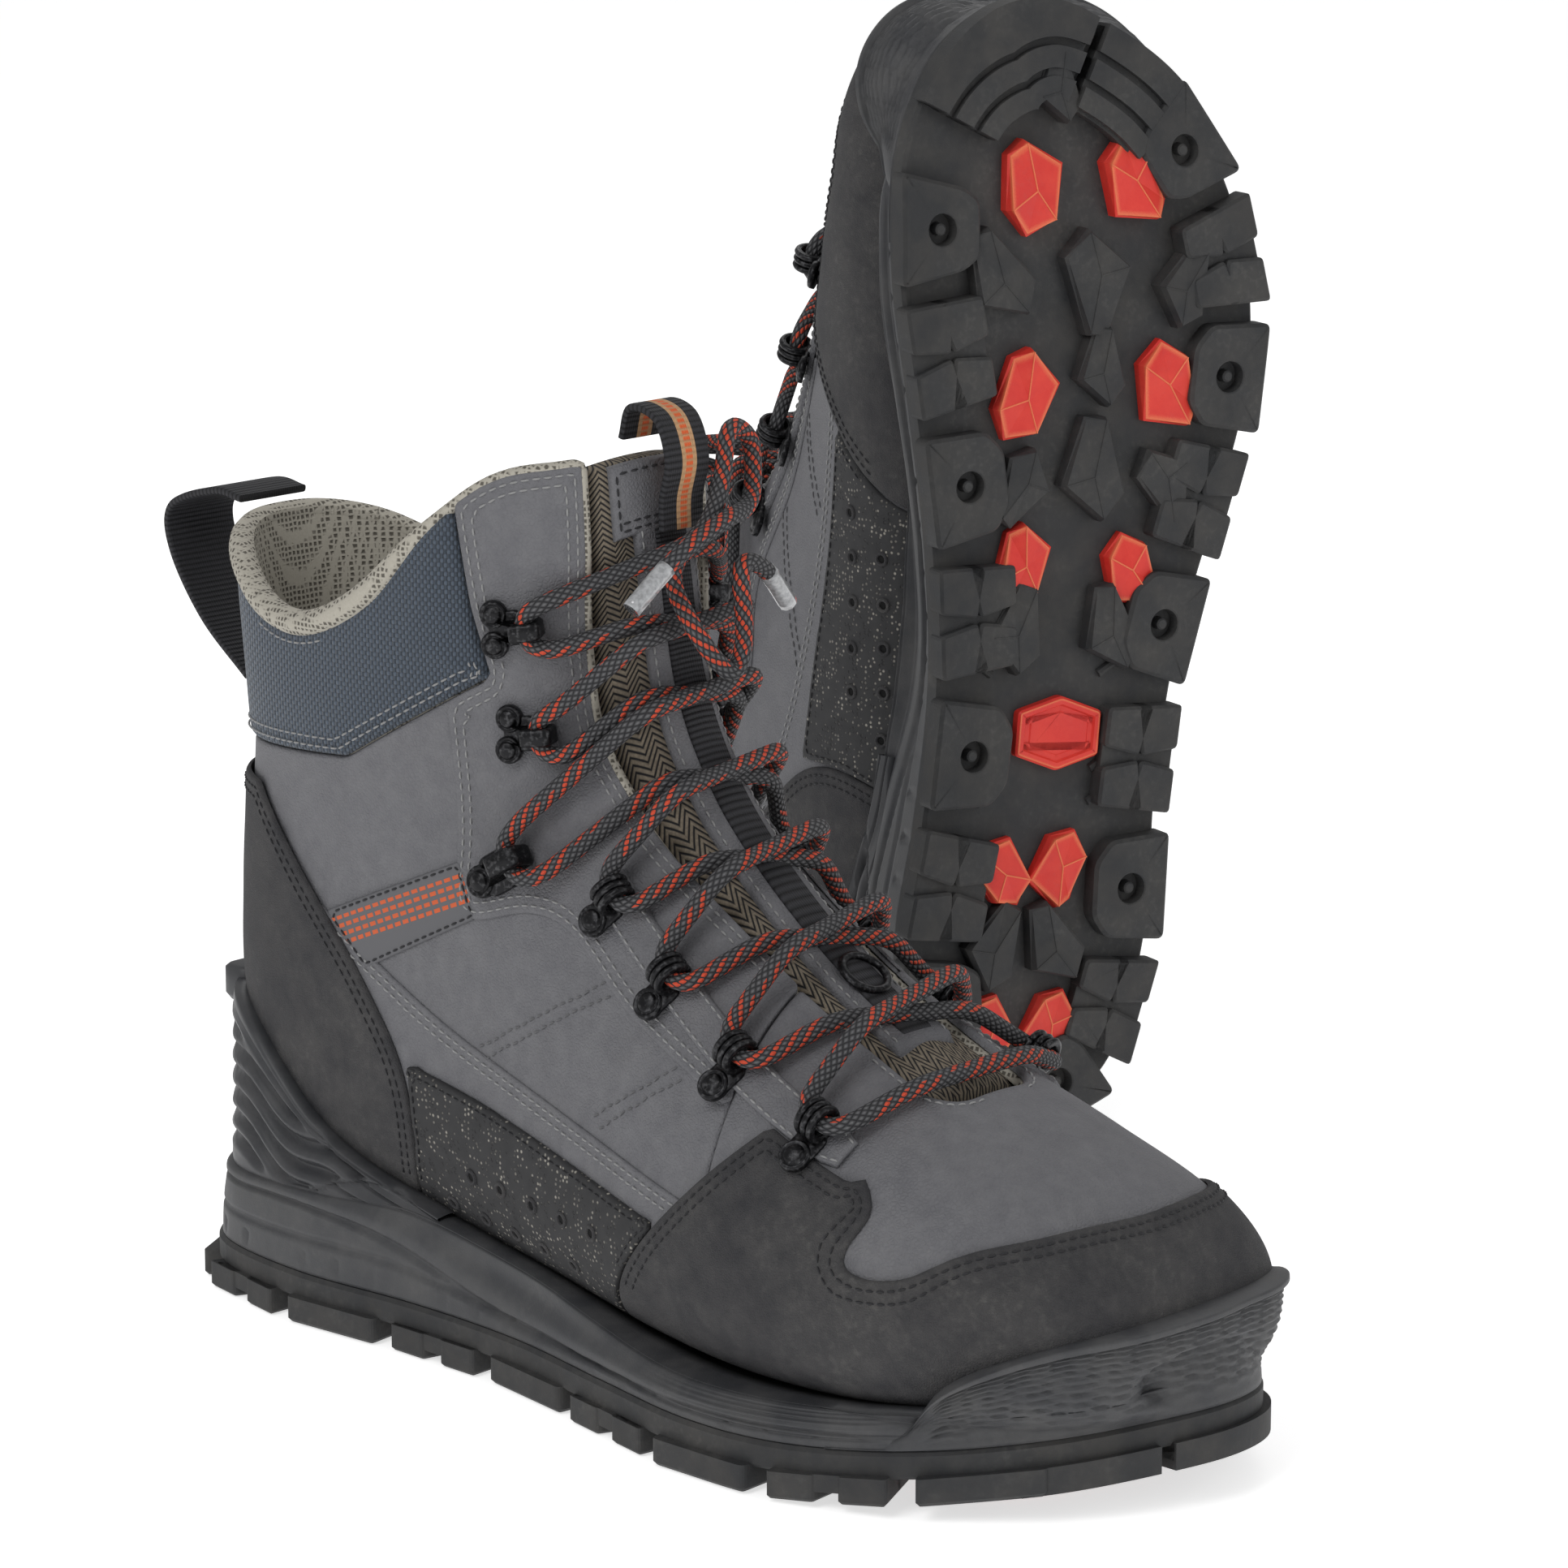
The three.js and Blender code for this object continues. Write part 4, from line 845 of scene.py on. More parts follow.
def outside(view, grow=0.0):
    return lambda p, u, angle: -view(p) - grow


def above_sole(p, u, angle):
    return p[..., 2] - LOWEST


def behind_toe_seam(p, u, angle):
    return TOE_SEAM - 0.3 - p[..., 0]


def before_toe_seam(p, u, angle):
    return p[..., 0] - TOE_SEAM


HALVES = {"lateral": (3, 179.8), "medial": (-179.8, -3)}
ALL_ROUND = (-2, 358)

# ---- Vamp and quarters --------------------------------------------------------------------------------
# Grey synthetic leather, cut in overlapping panels, each turned edge sewn down with two rows of pale
# thread.
grey_leather = leather("grey_leather", srgb(98, 98, 102), srgb(112, 112, 115), 0.9, 0.22, 0.66)
vamp = Panel(all_of(before_toe_seam, beside_gap, above_sole), (0, 7), (-150, 150))
fit("vamp", *vamp.solid(0, UPPER_LAYER), grey_leather, "grey_leather", ["vamp"])
seams("vamp_seam", vamp, UPPER_LAYER, (2.2,), pale_thread, lambda p, u, a: p[:, 0] > 238)
for half, angles in HALVES.items():
    area = all_of(behind_toe_seam, beside_gap, seen_from(below_collar), outside(on_collar_cloth, 0.3),
                  above_sole)
    quarter = Panel(area, (2.5, TOP), angles)
    fit(f"quarter_{half}", *quarter.solid(0, 1.15), grey_leather, "grey_leather", [f"quarter_{half}"])
    facing = Panel(all_of(area, seen_from(FACING)), (2.5, TOP), angles)
    fit(f"facing_{half}", *facing.solid(1.2, 1.95, 0.7), grey_leather, "grey_leather")
    seams(f"facing_seams_{half}", facing, 1.95, (2.0, 4.4), pale_thread,
          lambda p, u, a: (p[:, 0] < 207) & (p[:, 2] < 236))
    strip = Panel(all_of(area, seen_from(LOWER_STRIP)), (2.5, TOP), angles)
    fit(f"lower_strip_{half}", *strip.solid(1.2, 1.9, 0.7), grey_leather, "grey_leather")
    seams(f"lower_strip_seams_{half}", strip, 1.9, (2.0, 4.2), pale_thread,
          lambda p, u, a: (p[:, 2] > 58) & (p[:, 0] > 50) & (p[:, 0] < 208) & (p[:, 2] > 110 - 0.25 * p[:,
              0]))


# ---- Overlays -----------------------------------------------------------------------------------------
# Black nubuck over the toe and the heel, and a thinner perforated panel between them; dark double seams.
def perforated():
    """Black panel with rows of tiny holes, some painted with pale specks that stand for glints of light."""
    material, tree, shader, place = start_material("perforated_panel", 0.7)
    cells = add(tree, "ShaderNodeTexVoronoi", {"Vector": place, "Scale": 0.62, "Randomness": 0.55},
                feature="F1")
    dot_mask = ramp(tree, cells.outputs["Distance"], 0.2, 0.34, 1.0, 0.0)
    patches = add(tree, "ShaderNodeTexNoise", {"Vector": place, "Scale": 0.25, "Detail": 4.0})
    # Painted highlight: pale glints in the holes, where the broad patches are strong.
    painted_glint = scaled(tree, dot_mask, ramp(tree, patches.outputs[0], 0.42, 0.62))
    base = mixed(tree, patches.outputs[0], srgb(32, 32, 34), srgb(54, 54, 55))
    paint(tree, shader, painted_glint, base, srgb(150, 146, 138))
    raise_surface(tree, shader, calculate(tree, "SUBTRACT", 1.0, dot_mask), 0.3)
    return material


nubuck = leather("black_nubuck", srgb(44, 44, 47), srgb(66, 65, 66), 1.3, 0.42, 0.82, 0.1)
side_black = perforated()
WINDOW_FOOT = 57.5  # lowest height of the window that the toe overlay leaves


def round_window(p, u, angle):
    """Distance outside the window, with its lower corners rounded."""
    soft = 3.0
    parts = np.exp(-np.clip(TOE_WINDOW(p) / soft, -30,
                            30)) + np.exp(-np.clip((p[..., 2] - WINDOW_FOOT) / soft, -30, 30))
    return soft * np.log(parts)


LANE = 5.3  # half the lane that the toe overlay leaves for the strips under the lace loops


def beside_strips(p, u, angle):
    """Distance from the strips that carry the lace loops."""
    side = np.where(np.asarray(angle) > 0, 1, -1)
    middle = last(u, side * LOOP_ANGLE)
    return np.where(np.asarray(u) > 3.65, np.linalg.norm(p - middle, axis=-1) - LANE,
                    np.hypot((3.65 - np.asarray(u)) * 30, np.linalg.norm(p - middle, axis=-1)) - LANE)


toe_overlay = Panel(all_of(seen_from(TOE_OVERLAY), round_window, above_sole, beside_strips), (0, 6.5),
                    (-150, 150))
fit("toe_overlay", *toe_overlay.solid(*OVERLAY, 1.1), nubuck, "black_leather", ["toe_overlay"])
seams("toe_overlay_seams", toe_overlay, OVERLAY[1], (2.4, 4.9), dark_thread, lambda p, u, a: p[:, 2] > 40)
heel_overlay = Panel(all_of(seen_from(HEEL_OVERLAY), above_sole), (5, 14), (2, 358))
fit("heel_overlay", *heel_overlay.solid(*OVERLAY, 1.1), nubuck, "black_leather", ["heel_overlay"])
seams("heel_overlay_seams", heel_overlay, OVERLAY[1], (2.4, 4.9), dark_thread, lambda p, u, a: p[:, 2] > 45)
for half, angles in HALVES.items():
    panel = Panel(all_of(seen_from(SIDE_PANEL), above_sole), (3, 10), angles)
    fit(f"side_panel_{half}", *panel.solid(*OVERLAY, 0.9), side_black, "black_leather",
        [f"side_panel_{half}"])
    seams(f"side_panel_seams_{half}", panel, OVERLAY[1], (2.0,), dark_thread, lambda p, u, a: p[:, 2] > 45)


# ---- Collar -------------------------------------------------------------------------------------------
# Padded blue-grey ballistic cloth round the back, a thick beige mesh roll over its rim, and the mesh
# lining.
def ballistic_cloth():
    material, tree, shader, place = start_material("ballistic_cloth", 0.8)
    axes = add(tree, "ShaderNodeSeparateXYZ", {0: place})
    round_the_boot = calculate(tree, "ADD", axes.outputs[0], scaled(tree, axes.outputs[1], 0.8))
    flat = add(tree, "ShaderNodeCombineXYZ", {0: round_the_boot, 1: axes.outputs[2]})
    weave = effect(tree, WEAVE, {"Place": flat.outputs[0], "Pitch": 1.15})
    fibres = add(tree, "ShaderNodeTexNoise", {"Vector": place, "Scale": 2.5, "Detail": 3.0})
    tone = mixed(tree, weave.outputs["Warp"], srgb(38, 46, 56), srgb(70, 80, 93))
    tone = mixed(tree, scaled(tree, fibres.outputs[0], 0.35), tone, srgb(98, 108, 120))
    # Painted shade: the gaps between the threads, where the weave is low, are painted dark.
    tone = mixed(tree, ramp(tree, weave.outputs["Height"], 0.0, 0.5), srgb(30, 36, 44), tone)
    tree.links.new(tone, shader.inputs["Base Color"])
    shader.inputs["Sheen Weight"].default_value = 0.15
    raise_surface(tree, shader, weave.outputs["Height"], 0.3)
    return material


def open_mesh(name, thread_colour, hole_shade_colour, pitch):
    """Knitted spacer mesh: small six-sided holes between rounded threads, the holes painted dark as the shade
    inside them.
    """
    material, tree, shader, place = start_material(name, 0.85)
    cells = add(tree, "ShaderNodeTexVoronoi", {"Vector": place, "Scale": 1 / pitch, "Randomness": 0.25},
                feature="DISTANCE_TO_EDGE")
    hole = ramp(tree, cells.outputs["Distance"], 0.16, 0.32)
    fibres = add(tree, "ShaderNodeTexNoise", {"Vector": place, "Scale": 1.4, "Detail": 3.0})
    light = mixed(tree, scaled(tree, fibres.outputs[0], 0.5), thread_colour, srgb(198, 194, 184))
    # Painted shade: the holes get the dark hole colour, standing for the shade inside them.
    paint(tree, shader, hole, light, hole_shade_colour)
    raise_surface(tree, shader, calculate(tree, "SUBTRACT", 1.0, hole), 0.35)
    return material


cloth = ballistic_cloth()
lining_mesh = open_mesh("lining_mesh", srgb(160, 155, 143), srgb(92, 88, 80), 1.5)
collar = Panel(all_of(seen_from(on_collar_cloth), seen_from(below_collar)), (7, TOP), ALL_ROUND,
               levels=(0.4, 1.2, 2.6))
collar_pieces = fit("collar_cloth", *collar.solid(0, 2.0, 1.8, puff=1.7, puff_width=7), cloth,
                    "collar_textile", ["collar_fabric"])
seams("collar_seams", collar, 2.9, (2.6, 5.0), pale_thread, lambda p, u, a: p[:, 2] < 186)
inner_shell = Panel(all_of(seen_from(below_collar, 1.2), beside_gap, above_sole), (1, TOP), ALL_ROUND,
                    (0.14, 3.0))
fit("lining", *inner_shell.solid(-2.5, -0.3, 0.6), lining_mesh, "lining_mesh", ["lining"])

rim = Panel(all_of(seen_from(below_collar), beside_gap), (7, TOP), ALL_ROUND).lines(0.2)
rim_rolls = []
for line in rim:
    spots = last(line[:, 0], line[:, 1])
    high = (spots[:, 2] > 150) & (np.hypot(*(spots[:, [0, 2]] - [160, 160]).T) > 4)
    if high.sum() < 20:
        continue
    u, angle = line[high, 0], line[high, 1]
    at_back = smoothstep((118 - spots[high, 0]) / 30)
    path = on_last(u, angle, 0.2 + 0.6 * at_back)
    jumps = np.linalg.norm(np.diff(path, axis=0), axis=1) > 6
    for piece in np.split(np.arange(len(path)), np.flatnonzero(jumps) + 1):
        if len(piece) > 8:
            rim_rolls.append(tube(path[piece], 1.6 + 1.9 * at_back[piece], 12)[:2])
fit("rim_roll", *joined(rim_rolls)[:2], lining_mesh, "lining_mesh")

# ---- Sole: outlines and blocks ------------------------------------------------------------------------
SOLE_PLAN = [
    (0, 0), (5, -20), (22, -36), (58, -43), (100, -42), (140, -45), (180, -54), (215, -61), (250, -59),
    (282, -47), (306, -27), (320, -3), (325, 15), (320, 33), (304, 49), (278, 58), (245, 57), (210, 49),
    (170, 40), (130, 35), (90, 36), (55, 39), (22, 34), (5, 18),
]
edge_line = spline([*SOLE_PLAN[-2:], *SOLE_PLAN, *SOLE_PLAN[:2]], 16)[32:-16]
edge_gone = np.concatenate([[0], np.cumsum(np.linalg.norm(np.diff(edge_line, axis=0), axis=1))])
SOLE_GIRTH = edge_gone[-1]
TREAD, PLATE_TOP, MIDSOLE_LOW = 6, 13, 13.3


def sole_edge(t, inset=0.0):
    """Points of the sole's outline moved in by inset, and their outward directions. t runs round from the heel."""
    where = (np.asarray(t, float) % 1) * SOLE_GIRTH

    def spot(gone):
        return np.stack([np.interp(gone % SOLE_GIRTH, edge_gone, edge_line[:, k]) for k in (0, 1)], -1)

    point = spot(where)
    run = unit(spot(where + 3) - spot(where - 3))
    out = np.stack([run[..., 1], -run[..., 0]], -1)
    return point - out * np.asarray(inset)[..., None], out


def sprung(points):
    """The same points with the toe of the sole bent up."""
    lift = 11 * np.clip((points[..., 0] - 225) / 100, 0, None) ** 1.8
    return points + np.stack([0 * lift, 0 * lift, lift], -1)


def inset_outline(outline, by):
    before, after = np.roll(outline, 1, 0), np.roll(outline, -1, 0)
    n1, n2 = [unit(np.stack([-(d[:, 1]), d[:, 0]], 1)) for d in (outline - before, after - outline)]
    return outline + by * (n1 + n2) / np.maximum(1 + (n1 * n2).sum(1, keepdims=True), 0.5)


def softened(outline, size, steps=4):
    """A closed outline with short curves at its corners."""
    outline = np.asarray(outline, float)
    rows = []
    for a, b, c in zip(np.roll(outline, 1, 0), outline, np.roll(outline, -1, 0)):
        before = b + (a - b) * min(0.45, size / np.linalg.norm(a - b))
        after = b + (c - b) * min(0.45, size / np.linalg.norm(c - b))
        t = np.linspace(0, 1, steps)[:, None]
        rows.append(before * (1 - t) ** 2 + 2 * b * t * (1 - t) + after * t**2)
    return np.vstack(rows)


def skin(loops, closed_ends=True):
    """Faces over rings of points that run down a block, each ring turning the same way."""
    n, count = len(loops[0]), len(loops)
    k = np.arange(n)
    faces = [np.vstack([np.stack([r * n + k, (r + 1) * n + k, (r + 1) * n + (k + 1) % n,
                                  r * n + (k + 1) % n], 1)
                        for r in range(count - 1)])]
    if closed_ends:
        faces += [k[None], (count - 1) * n + k[None, ::-1]]
    return np.vstack(loops), faces


def block(outline, rings):
    """A block over an outline, from rings of (inset, height) that run from its top to its foot."""
    loops = [np.column_stack([inset_outline(outline, d), np.full(len(outline), z)]) for d, z in rings]
    return skin(loops)


def turned(outline, degrees, centre=(0, 0), size=1.0):
    cos, sin = math.cos(math.radians(degrees)), math.sin(math.radians(degrees))
    return np.asarray(outline, float) * size @ np.array([[cos, sin], [-sin, cos]]) + centre


def cut_outline(outline, normal, offset):
    """The part of an outline where its points times normal are above offset."""
    kept = []
    for a, b in zip(outline, np.roll(outline, -1, 0)):
        da, db = np.dot(a, normal) - offset, np.dot(b, normal) - offset
        if da > 0:
            kept.append(a)
        if da * db < 0:
            kept.append(a + (b - a) * da / (da - db))
    return np.array(kept)


# ---- Outsole ------------------------------------------------------------------------------------------
# Black rubber plate with lugs round its edge, in turn with a socket for a screw-in stud and with crossed
# slits, and kite-shaped lugs down the middle.
EDGE_LUGS, LUG_LENGTH, LUG_PROUD = 20, 25, 2
lug_half = SOLE_GIRTH / EDGE_LUGS * 0.425
tread_rubber = rubber("tread_rubber", srgb(42, 43, 45), srgb(62, 61, 60), 0.26, 0.7)
red_rubber = rubber("red_rubber", srgb(214, 44, 36), srgb(226, 66, 52), 0.12, 0.5, 0.2)
sole_parts = [block(edge_line[:-1:2], [(1, PLATE_TOP), (0, PLATE_TOP - 1), (0, TREAD + 1), (1, TREAD)])]


def stud_socket(outline, centre, radius=4.6):
    """A lug with a round well in its foot and a small post in the middle of the well."""
    share = np.arange(6)[:, None] / 6
    outline = np.vstack([a + (b - a) * share for a, b in zip(outline, np.roll(outline, -1, 0))])
    spots = outline - centre
    turn = spots / np.linalg.norm(spots, axis=1, keepdims=True)
    loops = [np.column_stack([inset_outline(outline, d), np.full(len(outline), z)]) for d,
             z in ((0, 7), (0, 1), (1, 0))]
    for size, z in ((radius + 1.6, 0), (radius + 1.3, -0.25), (radius + 0.4, -0.25), (radius, 0.3),
                    (radius - 0.2, 4.4),
                    (1.9, 4.4), (1.7, 1.6), (1.2, 1.2)):
        loops.append(np.column_stack([centre + turn * size, np.full(len(outline), z)]))
    loops = [np.column_stack([ring[:, :2], np.maximum(ring[:, 2], 0.02)]) for ring in loops]
    return skin(loops)


for i in range(EDGE_LUGS):
    t = (i + 0.5) / EDGE_LUGS
    centre, out = sole_edge(t, LUG_LENGTH / 2 - LUG_PROUD)
    heading = math.degrees(math.atan2(out[1], out[0]))
    end = LUG_LENGTH / 2
    narrow = 0.72 if 250 < centre[0] or centre[0] < 40 else 0.9
    body = [(-end, -lug_half * narrow), (end, -lug_half), (end, lug_half), (-end, lug_half * narrow)]
    if centre[0] > 290:
        continue
    if i % 2 == 0:
        outline = softened([(-end, -8), (-end + 5, -lug_half * narrow), (end, -lug_half), (end, lug_half),
                            (-end + 5, lug_half * narrow), (-end, 8)], 2.4, 6)
        outline = turned(outline, heading, centre)
        sole_parts.append(stud_socket(outline, centre))
        continue
    sole_parts.append(block(turned(softened(body, 1.5), heading, centre), [(0.5, 7), (0.5, 2.6), (1, 2.4)]))
    for sx, sy in ((-1, -1), (-1, 1), (1, -1), (1, 1)):
        quarter = cut_outline(np.array(body, float), np.array([sx, sy * 0.25]), 0.65)
        quarter = cut_outline(quarter, np.array([-sx * 0.2, sy]), 0.65)
        sole_parts.append(block(turned(softened(quarter, 1.4), heading, centre),
                                [(0, 7), (0, 0.8), (0.8, 0)]))
toe_t = np.arange(0.3, 0.7, 0.0025)
toe_t = toe_t[sole_edge(toe_t, 13.0)[0][:, 0] > 290]
split_t = toe_t[np.abs(sole_edge(toe_t, 13.0)[0][:, 1] - 2).argmin()]
for ts, bent in ((toe_t[toe_t < split_t - 0.002], 0), (toe_t[toe_t > split_t + 0.002], 1)):
    sway = bent * 4.5 * (1 - np.abs(np.linspace(-1, 1, len(ts))))
    for low, high in ((-2, 6.6), (9, 15.4), (17.8, 24)):
        rim_low = sole_edge(ts, low + (sway if low > 0 else 0))[0]
        rim_high = sole_edge(ts, high + sway)[0]
        strip = np.vstack([rim_low, rim_high[::-1]])[::-1]
        sole_parts.append(block(strip, [(0, 7), (0, 0.1)]))
    base = np.vstack([sole_edge(ts, -1)[0], sole_edge(ts[::-1], 25)[0]])[::-1]
    sole_parts.append(block(base, [(0, 7), (0, 2.4)]))

KITE = [(-9, -3), (-3, -8), (12, -2), (12, 3), (-2, 7)]
KITES = [  # place, direction in degrees, size
    (301, 10, 0, 1.0), (250, -5, 180, 1.45), (247, 27, 28, 1.35), (246, -34, -24, 1.15), (192, -8, 0, 1.45),
    (190, 14, 150, 1.1), (192, -33, -158, 1.15), (146, -19, 12, 1.25), (146, 13, -12, 1.25), (53, -9, 24,
        1.25),
    (53, 12, -24, 1.25), (222, -8, 0, 1.1),
]


def faceted(outline, centre, top, foot, depth=1.1):
    """A lug whose foot has folded facets that meet in a point, with thin raised lines along the folds."""
    n = len(outline)
    rows = [np.column_stack([outline, np.full(n, z)]) for z in (top, foot + depth + 0.6)]
    rim = np.column_stack([inset_outline(outline, 0.8), foot + depth * (np.arange(n) % 2)])
    points, faces = skin([*rows, rim], False)
    k = np.arange(n)
    fan = np.stack([np.full(n, len(points)), 2 * n + (k + 1) % n, 2 * n + k], 1)
    edge = np.concatenate([np.zeros(n), np.full(n, 0.6), np.ones(n), [0]])
    lug = np.vstack([points, [*centre, foot]]), [*faces, k[None], fan]
    folds = [tube(np.linspace([*centre, foot], rim[i], 4), 0.24, 6)[:2] for i in range(0, n, 2)]
    points, faces, _ = joined([lug, *folds])
    return points, faces, np.concatenate([edge, np.ones(len(points) - len(edge))])


kites = [faceted(turned(KITE, turn, (x, y), size), (x, y), 7, 0.05, 1.5) for x, y, turn, size in KITES]
RIBS_AT_ARCH = [(x, side) for x in (96, 106, 134, 144) for side in (-1, 1)]
for x, side in RIBS_AT_ARCH:
    across = np.linspace(0, 1, 9)
    arc = np.stack([x + 5 * np.sin(across * 2.4), side * (18 + 17 * across), np.full(9, TREAD - 0.2)], 1)
    sole_parts.append(tube(arc, 1.3, 8)[:2])
sole_points, sole_faces, _ = joined(sole_parts)
fit("outsole", sprung(sole_points), sole_faces, tread_rubber, "black_rubber", ["outsole"], smooth=False)
kite_points, kite_faces, _ = joined([k[:2] for k in kites])
fit("kite_lugs", sprung(kite_points), kite_faces, tread_rubber, "black_rubber", smooth=False)


# ---- Red insert ---------------------------------------------------------------------------------------
# Softer red rubber moulded through the black sole: faceted lugs with worn pale edges, and a plain six-
# sided badge.
def worn_edges(material, pale):
    """Shows the paler rubber that wear leaves along the edges."""
    tree = material.node_tree
    shader = tree.nodes["Principled BSDF"]
    link = shader.inputs["Base Color"].links[0].from_socket
    edge = add(tree, "ShaderNodeAttribute", attribute_name="edge").outputs["Fac"]
    rough = add(tree, "ShaderNodeTexNoise", {"Scale": 900.0, "Detail": 2.0}).outputs[0]
    mask = ramp(tree, calculate(tree, "ADD", edge, scaled(tree, rough, 0.25)), 0.98, 1.16)
    paint(tree, shader, mask, link, pale)


worn_edges(red_rubber, srgb(232, 128, 84))
RED_LUG = [(-12, -6), (-7, -9.5), (7, -6.5), (12, 1), (6, 8), (-9, 7)]
RED_LUGS = [
    (277, -16, 12, 1.05), (273, 17, 168, 1.1), (219, -31, 8, 1.1), (214, 16, 150, 1.1), (165, -24, 14, 0.95),
    (166, 12, 158, 0.95), (78, -9, -28, 0.95), (76, 10, 208, 0.95), (31, -10, -28, 0.9), (30, 10, 208, 0.9),
]
reds = [faceted(turned(RED_LUG, turn, (x, y), size), (x, y), 14, 0.8, 2.3) for x, y, turn, size in RED_LUGS]
badge = turned(softened([(-11, 0), (-6.5, -14), (6.5, -14), (11, 0), (6.5, 14), (-6.5, 14)], 1.2), 0,
               (117, -5))
badge_rings = [(0, 14), (0, 3.5), (0.7, 2.8), (2.2, 2.8), (2.7, 3.5), (4.2, 3.5), (4.6, 3.2)]
badge_part = block(badge, badge_rings)
red_points, red_faces, _ = joined([*[r[:2] for r in reds], badge_part])
badge_edge = np.repeat([0, 0.5, 1, 0.6, 0.1, 0, 0], len(badge))
fit("lug_inserts", sprung(red_points), red_faces, red_rubber, "red_rubber", ["lug_inserts"], smooth=False,
    marks={"edge": np.concatenate([*[r[2] for r in reds], badge_edge])})

# ---- Midsole and toe bumper ---------------------------------------------------------------------------
# Moulded matt rubber round the foot: a flowing swoosh from the heel, a waist at the arch and fine ribs at
# the ball; a thicker bumper with wavy ribs under a smooth band wraps the toe.
midsole_rubber = rubber("midsole_rubber", srgb(58, 59, 62), srgb(76, 76, 77), 0.2, 0.52)
MIDSOLE_TOP = spline([(-60, 34), (-30, 34), (40, 35), (90, 37), (125, 33), (165, 28), (205, 24), (250, 25),
                      (290, 29), (400, 40)])
BUMPER_TOP = spline([(200, 8), (250, 20), (272, 27), (288, 38), (306, 46), (330, 50), (400, 54)])


WALL_STEPS = 480
WALL_ROWS = 44
even_t = np.arange(WALL_STEPS) / WALL_STEPS
RIM, rim_out = sole_edge(even_t, np.zeros(WALL_STEPS))
OUTWARDS = np.column_stack([rim_out, np.zeros(WALL_STEPS)])


def meeting_line(top_line, lift, us):
    """Where a wall round the foot meets the upper: points for evenly spaced t round the sole."""
    def field(p, u, angle):
        return p[..., 2] - np.interp(p[..., 0], top_line[:, 0], top_line[:, 1])

    lines = Panel(field, us, ALL_ROUND, (0.06, 2.0), ()).lines(0.05)
    line = np.vstack([piece for piece in lines if len(piece) > 20])
    spots = on_last(line[:, 0], line[:, 1], lift + 0 * line[:, 0])
    spots = spots[last(line[:, 0], line[:, 1])[:, 2] > 20]
    nearest = np.array([((edge_line - s[:2]) ** 2).sum(1).argmin() for s in spots])
    t = edge_gone[nearest] / SOLE_GIRTH
    order = np.argsort(t)
    rows = [np.interp(even_t, t[order], spots[order, k], period=1) for k in range(3)]
    smooth = np.stack(rows, 1)
    for _ in range(6):
        smooth = (np.roll(smooth, 1, 0) + 2 * smooth + np.roll(smooth, -1, 0)) / 4
    return smooth


def kept_out(line, most):
    """The same line, moved out where it lies further in than most from the sole's edge."""
    inset = ((RIM - line[:, :2]) * rim_out).sum(1)
    inset = np.clip(inset, -6, np.broadcast_to(most, inset.shape))
    return np.column_stack([RIM - rim_out * inset[:, None], line[:, 2]])


def upper_reach():
    """How far the upper stands out past the sole's edge: a row for each t round it, a column each 2 mm up."""
    us, angles = [grid.ravel() for grid in np.meshgrid(np.linspace(0.02, 13, 260),
                                                       np.linspace(-180, 180, 241))]
    spots = on_last(us, angles, np.full(len(us), 4.4))
    spots = spots[(spots[:, 2] > 8) & (spots[:, 2] < 62)]
    nearest = np.array([((edge_line - s[:2]) ** 2).sum(1).argmin() for s in spots])
    t = np.rint(edge_gone[nearest] / SOLE_GIRTH * WALL_STEPS).astype(int) % WALL_STEPS
    reach = np.full((WALL_STEPS, 34), -30.0)
    np.maximum.at(reach, (t, (spots[:, 2] / 2).astype(int)), ((spots[:, :2] - RIM[t]) * rim_out[t]).sum(1))
    for _ in range(4):
        reach = np.maximum(reach, np.maximum(np.roll(reach, 1, 0), np.roll(reach, -1, 0)))
    reach = np.maximum(reach, np.maximum(np.roll(reach, 1, 1), np.roll(reach, -1, 1)))
    for _ in range(30):
        reach = (np.roll(reach, 1, 0) + 2 * reach + np.roll(reach, -1, 0)) / 4
    reach[:, 1:-1] = (reach[:, :-2] + 2 * reach[:, 1:-1] + reach[:, 2:]) / 4
    return reach


REACH = upper_reach()


def clear_of_upper(row, by):
    """The same row of points, moved out where the upper stands further out than the row."""
    level = np.clip(row[:, 2] / 2, 0, 32.9)
    low, k = level.astype(int), np.arange(WALL_STEPS)
    reach = REACH[k, low] * (1 - level + low) + REACH[k, low + 1] * (level - low)
    short = reach + by - ((row[:, :2] - RIM) * rim_out).sum(1)
    return row + OUTWARDS * np.clip(short, 0, 9)[:, None]


def wall(low, top, back, sculpt, bulge=0.9, corner_height=0.93):
    """A wall between two lines round the sole, sculpted outwards, with a ledge from its top to the back."""
    corner = low * bulge + top * (1 - bulge)
    corner[:, 2] = low[:, 2] + (top[:, 2] - low[:, 2]) * corner_height
    rows = []
    for v in np.linspace(0, 1, WALL_ROWS):
        row = low * (1 - v) ** 2 + 2 * v * (1 - v) * corner + v**2 * top
        row = clear_of_upper(row, 1.4 if v < 0.97 else 0.2)
        push = sculpt(row[:, 0], v, row[:, 2]) * math.sin(math.pi * min(1, v * 8, (1 - v) * 8) / 2)
        rows.append(row + OUTWARDS * push[:, None])
    rows += [(top + back) / 2 - OUTWARDS * 0.3 + [0, 0, 0.3], back - OUTWARDS * 1.5, low - OUTWARDS * 9]
    points, faces = skin(rows[::-1], False)
    n, last_row = WALL_STEPS, len(rows) - 1
    k = np.arange(n)
    faces.append(np.stack([last_row * n + k, k, (k + 1) % n, last_row * n + (k + 1) % n], 1))
    return points, faces


def bell(x, middle, width):
    return np.exp(-(((x - middle) / width) ** 2))


def groove(distance, width):
    """1 in the middle of a groove, 0 outside it."""
    return np.clip(1 - np.abs(distance) / width, 0, 1) ** 0.7


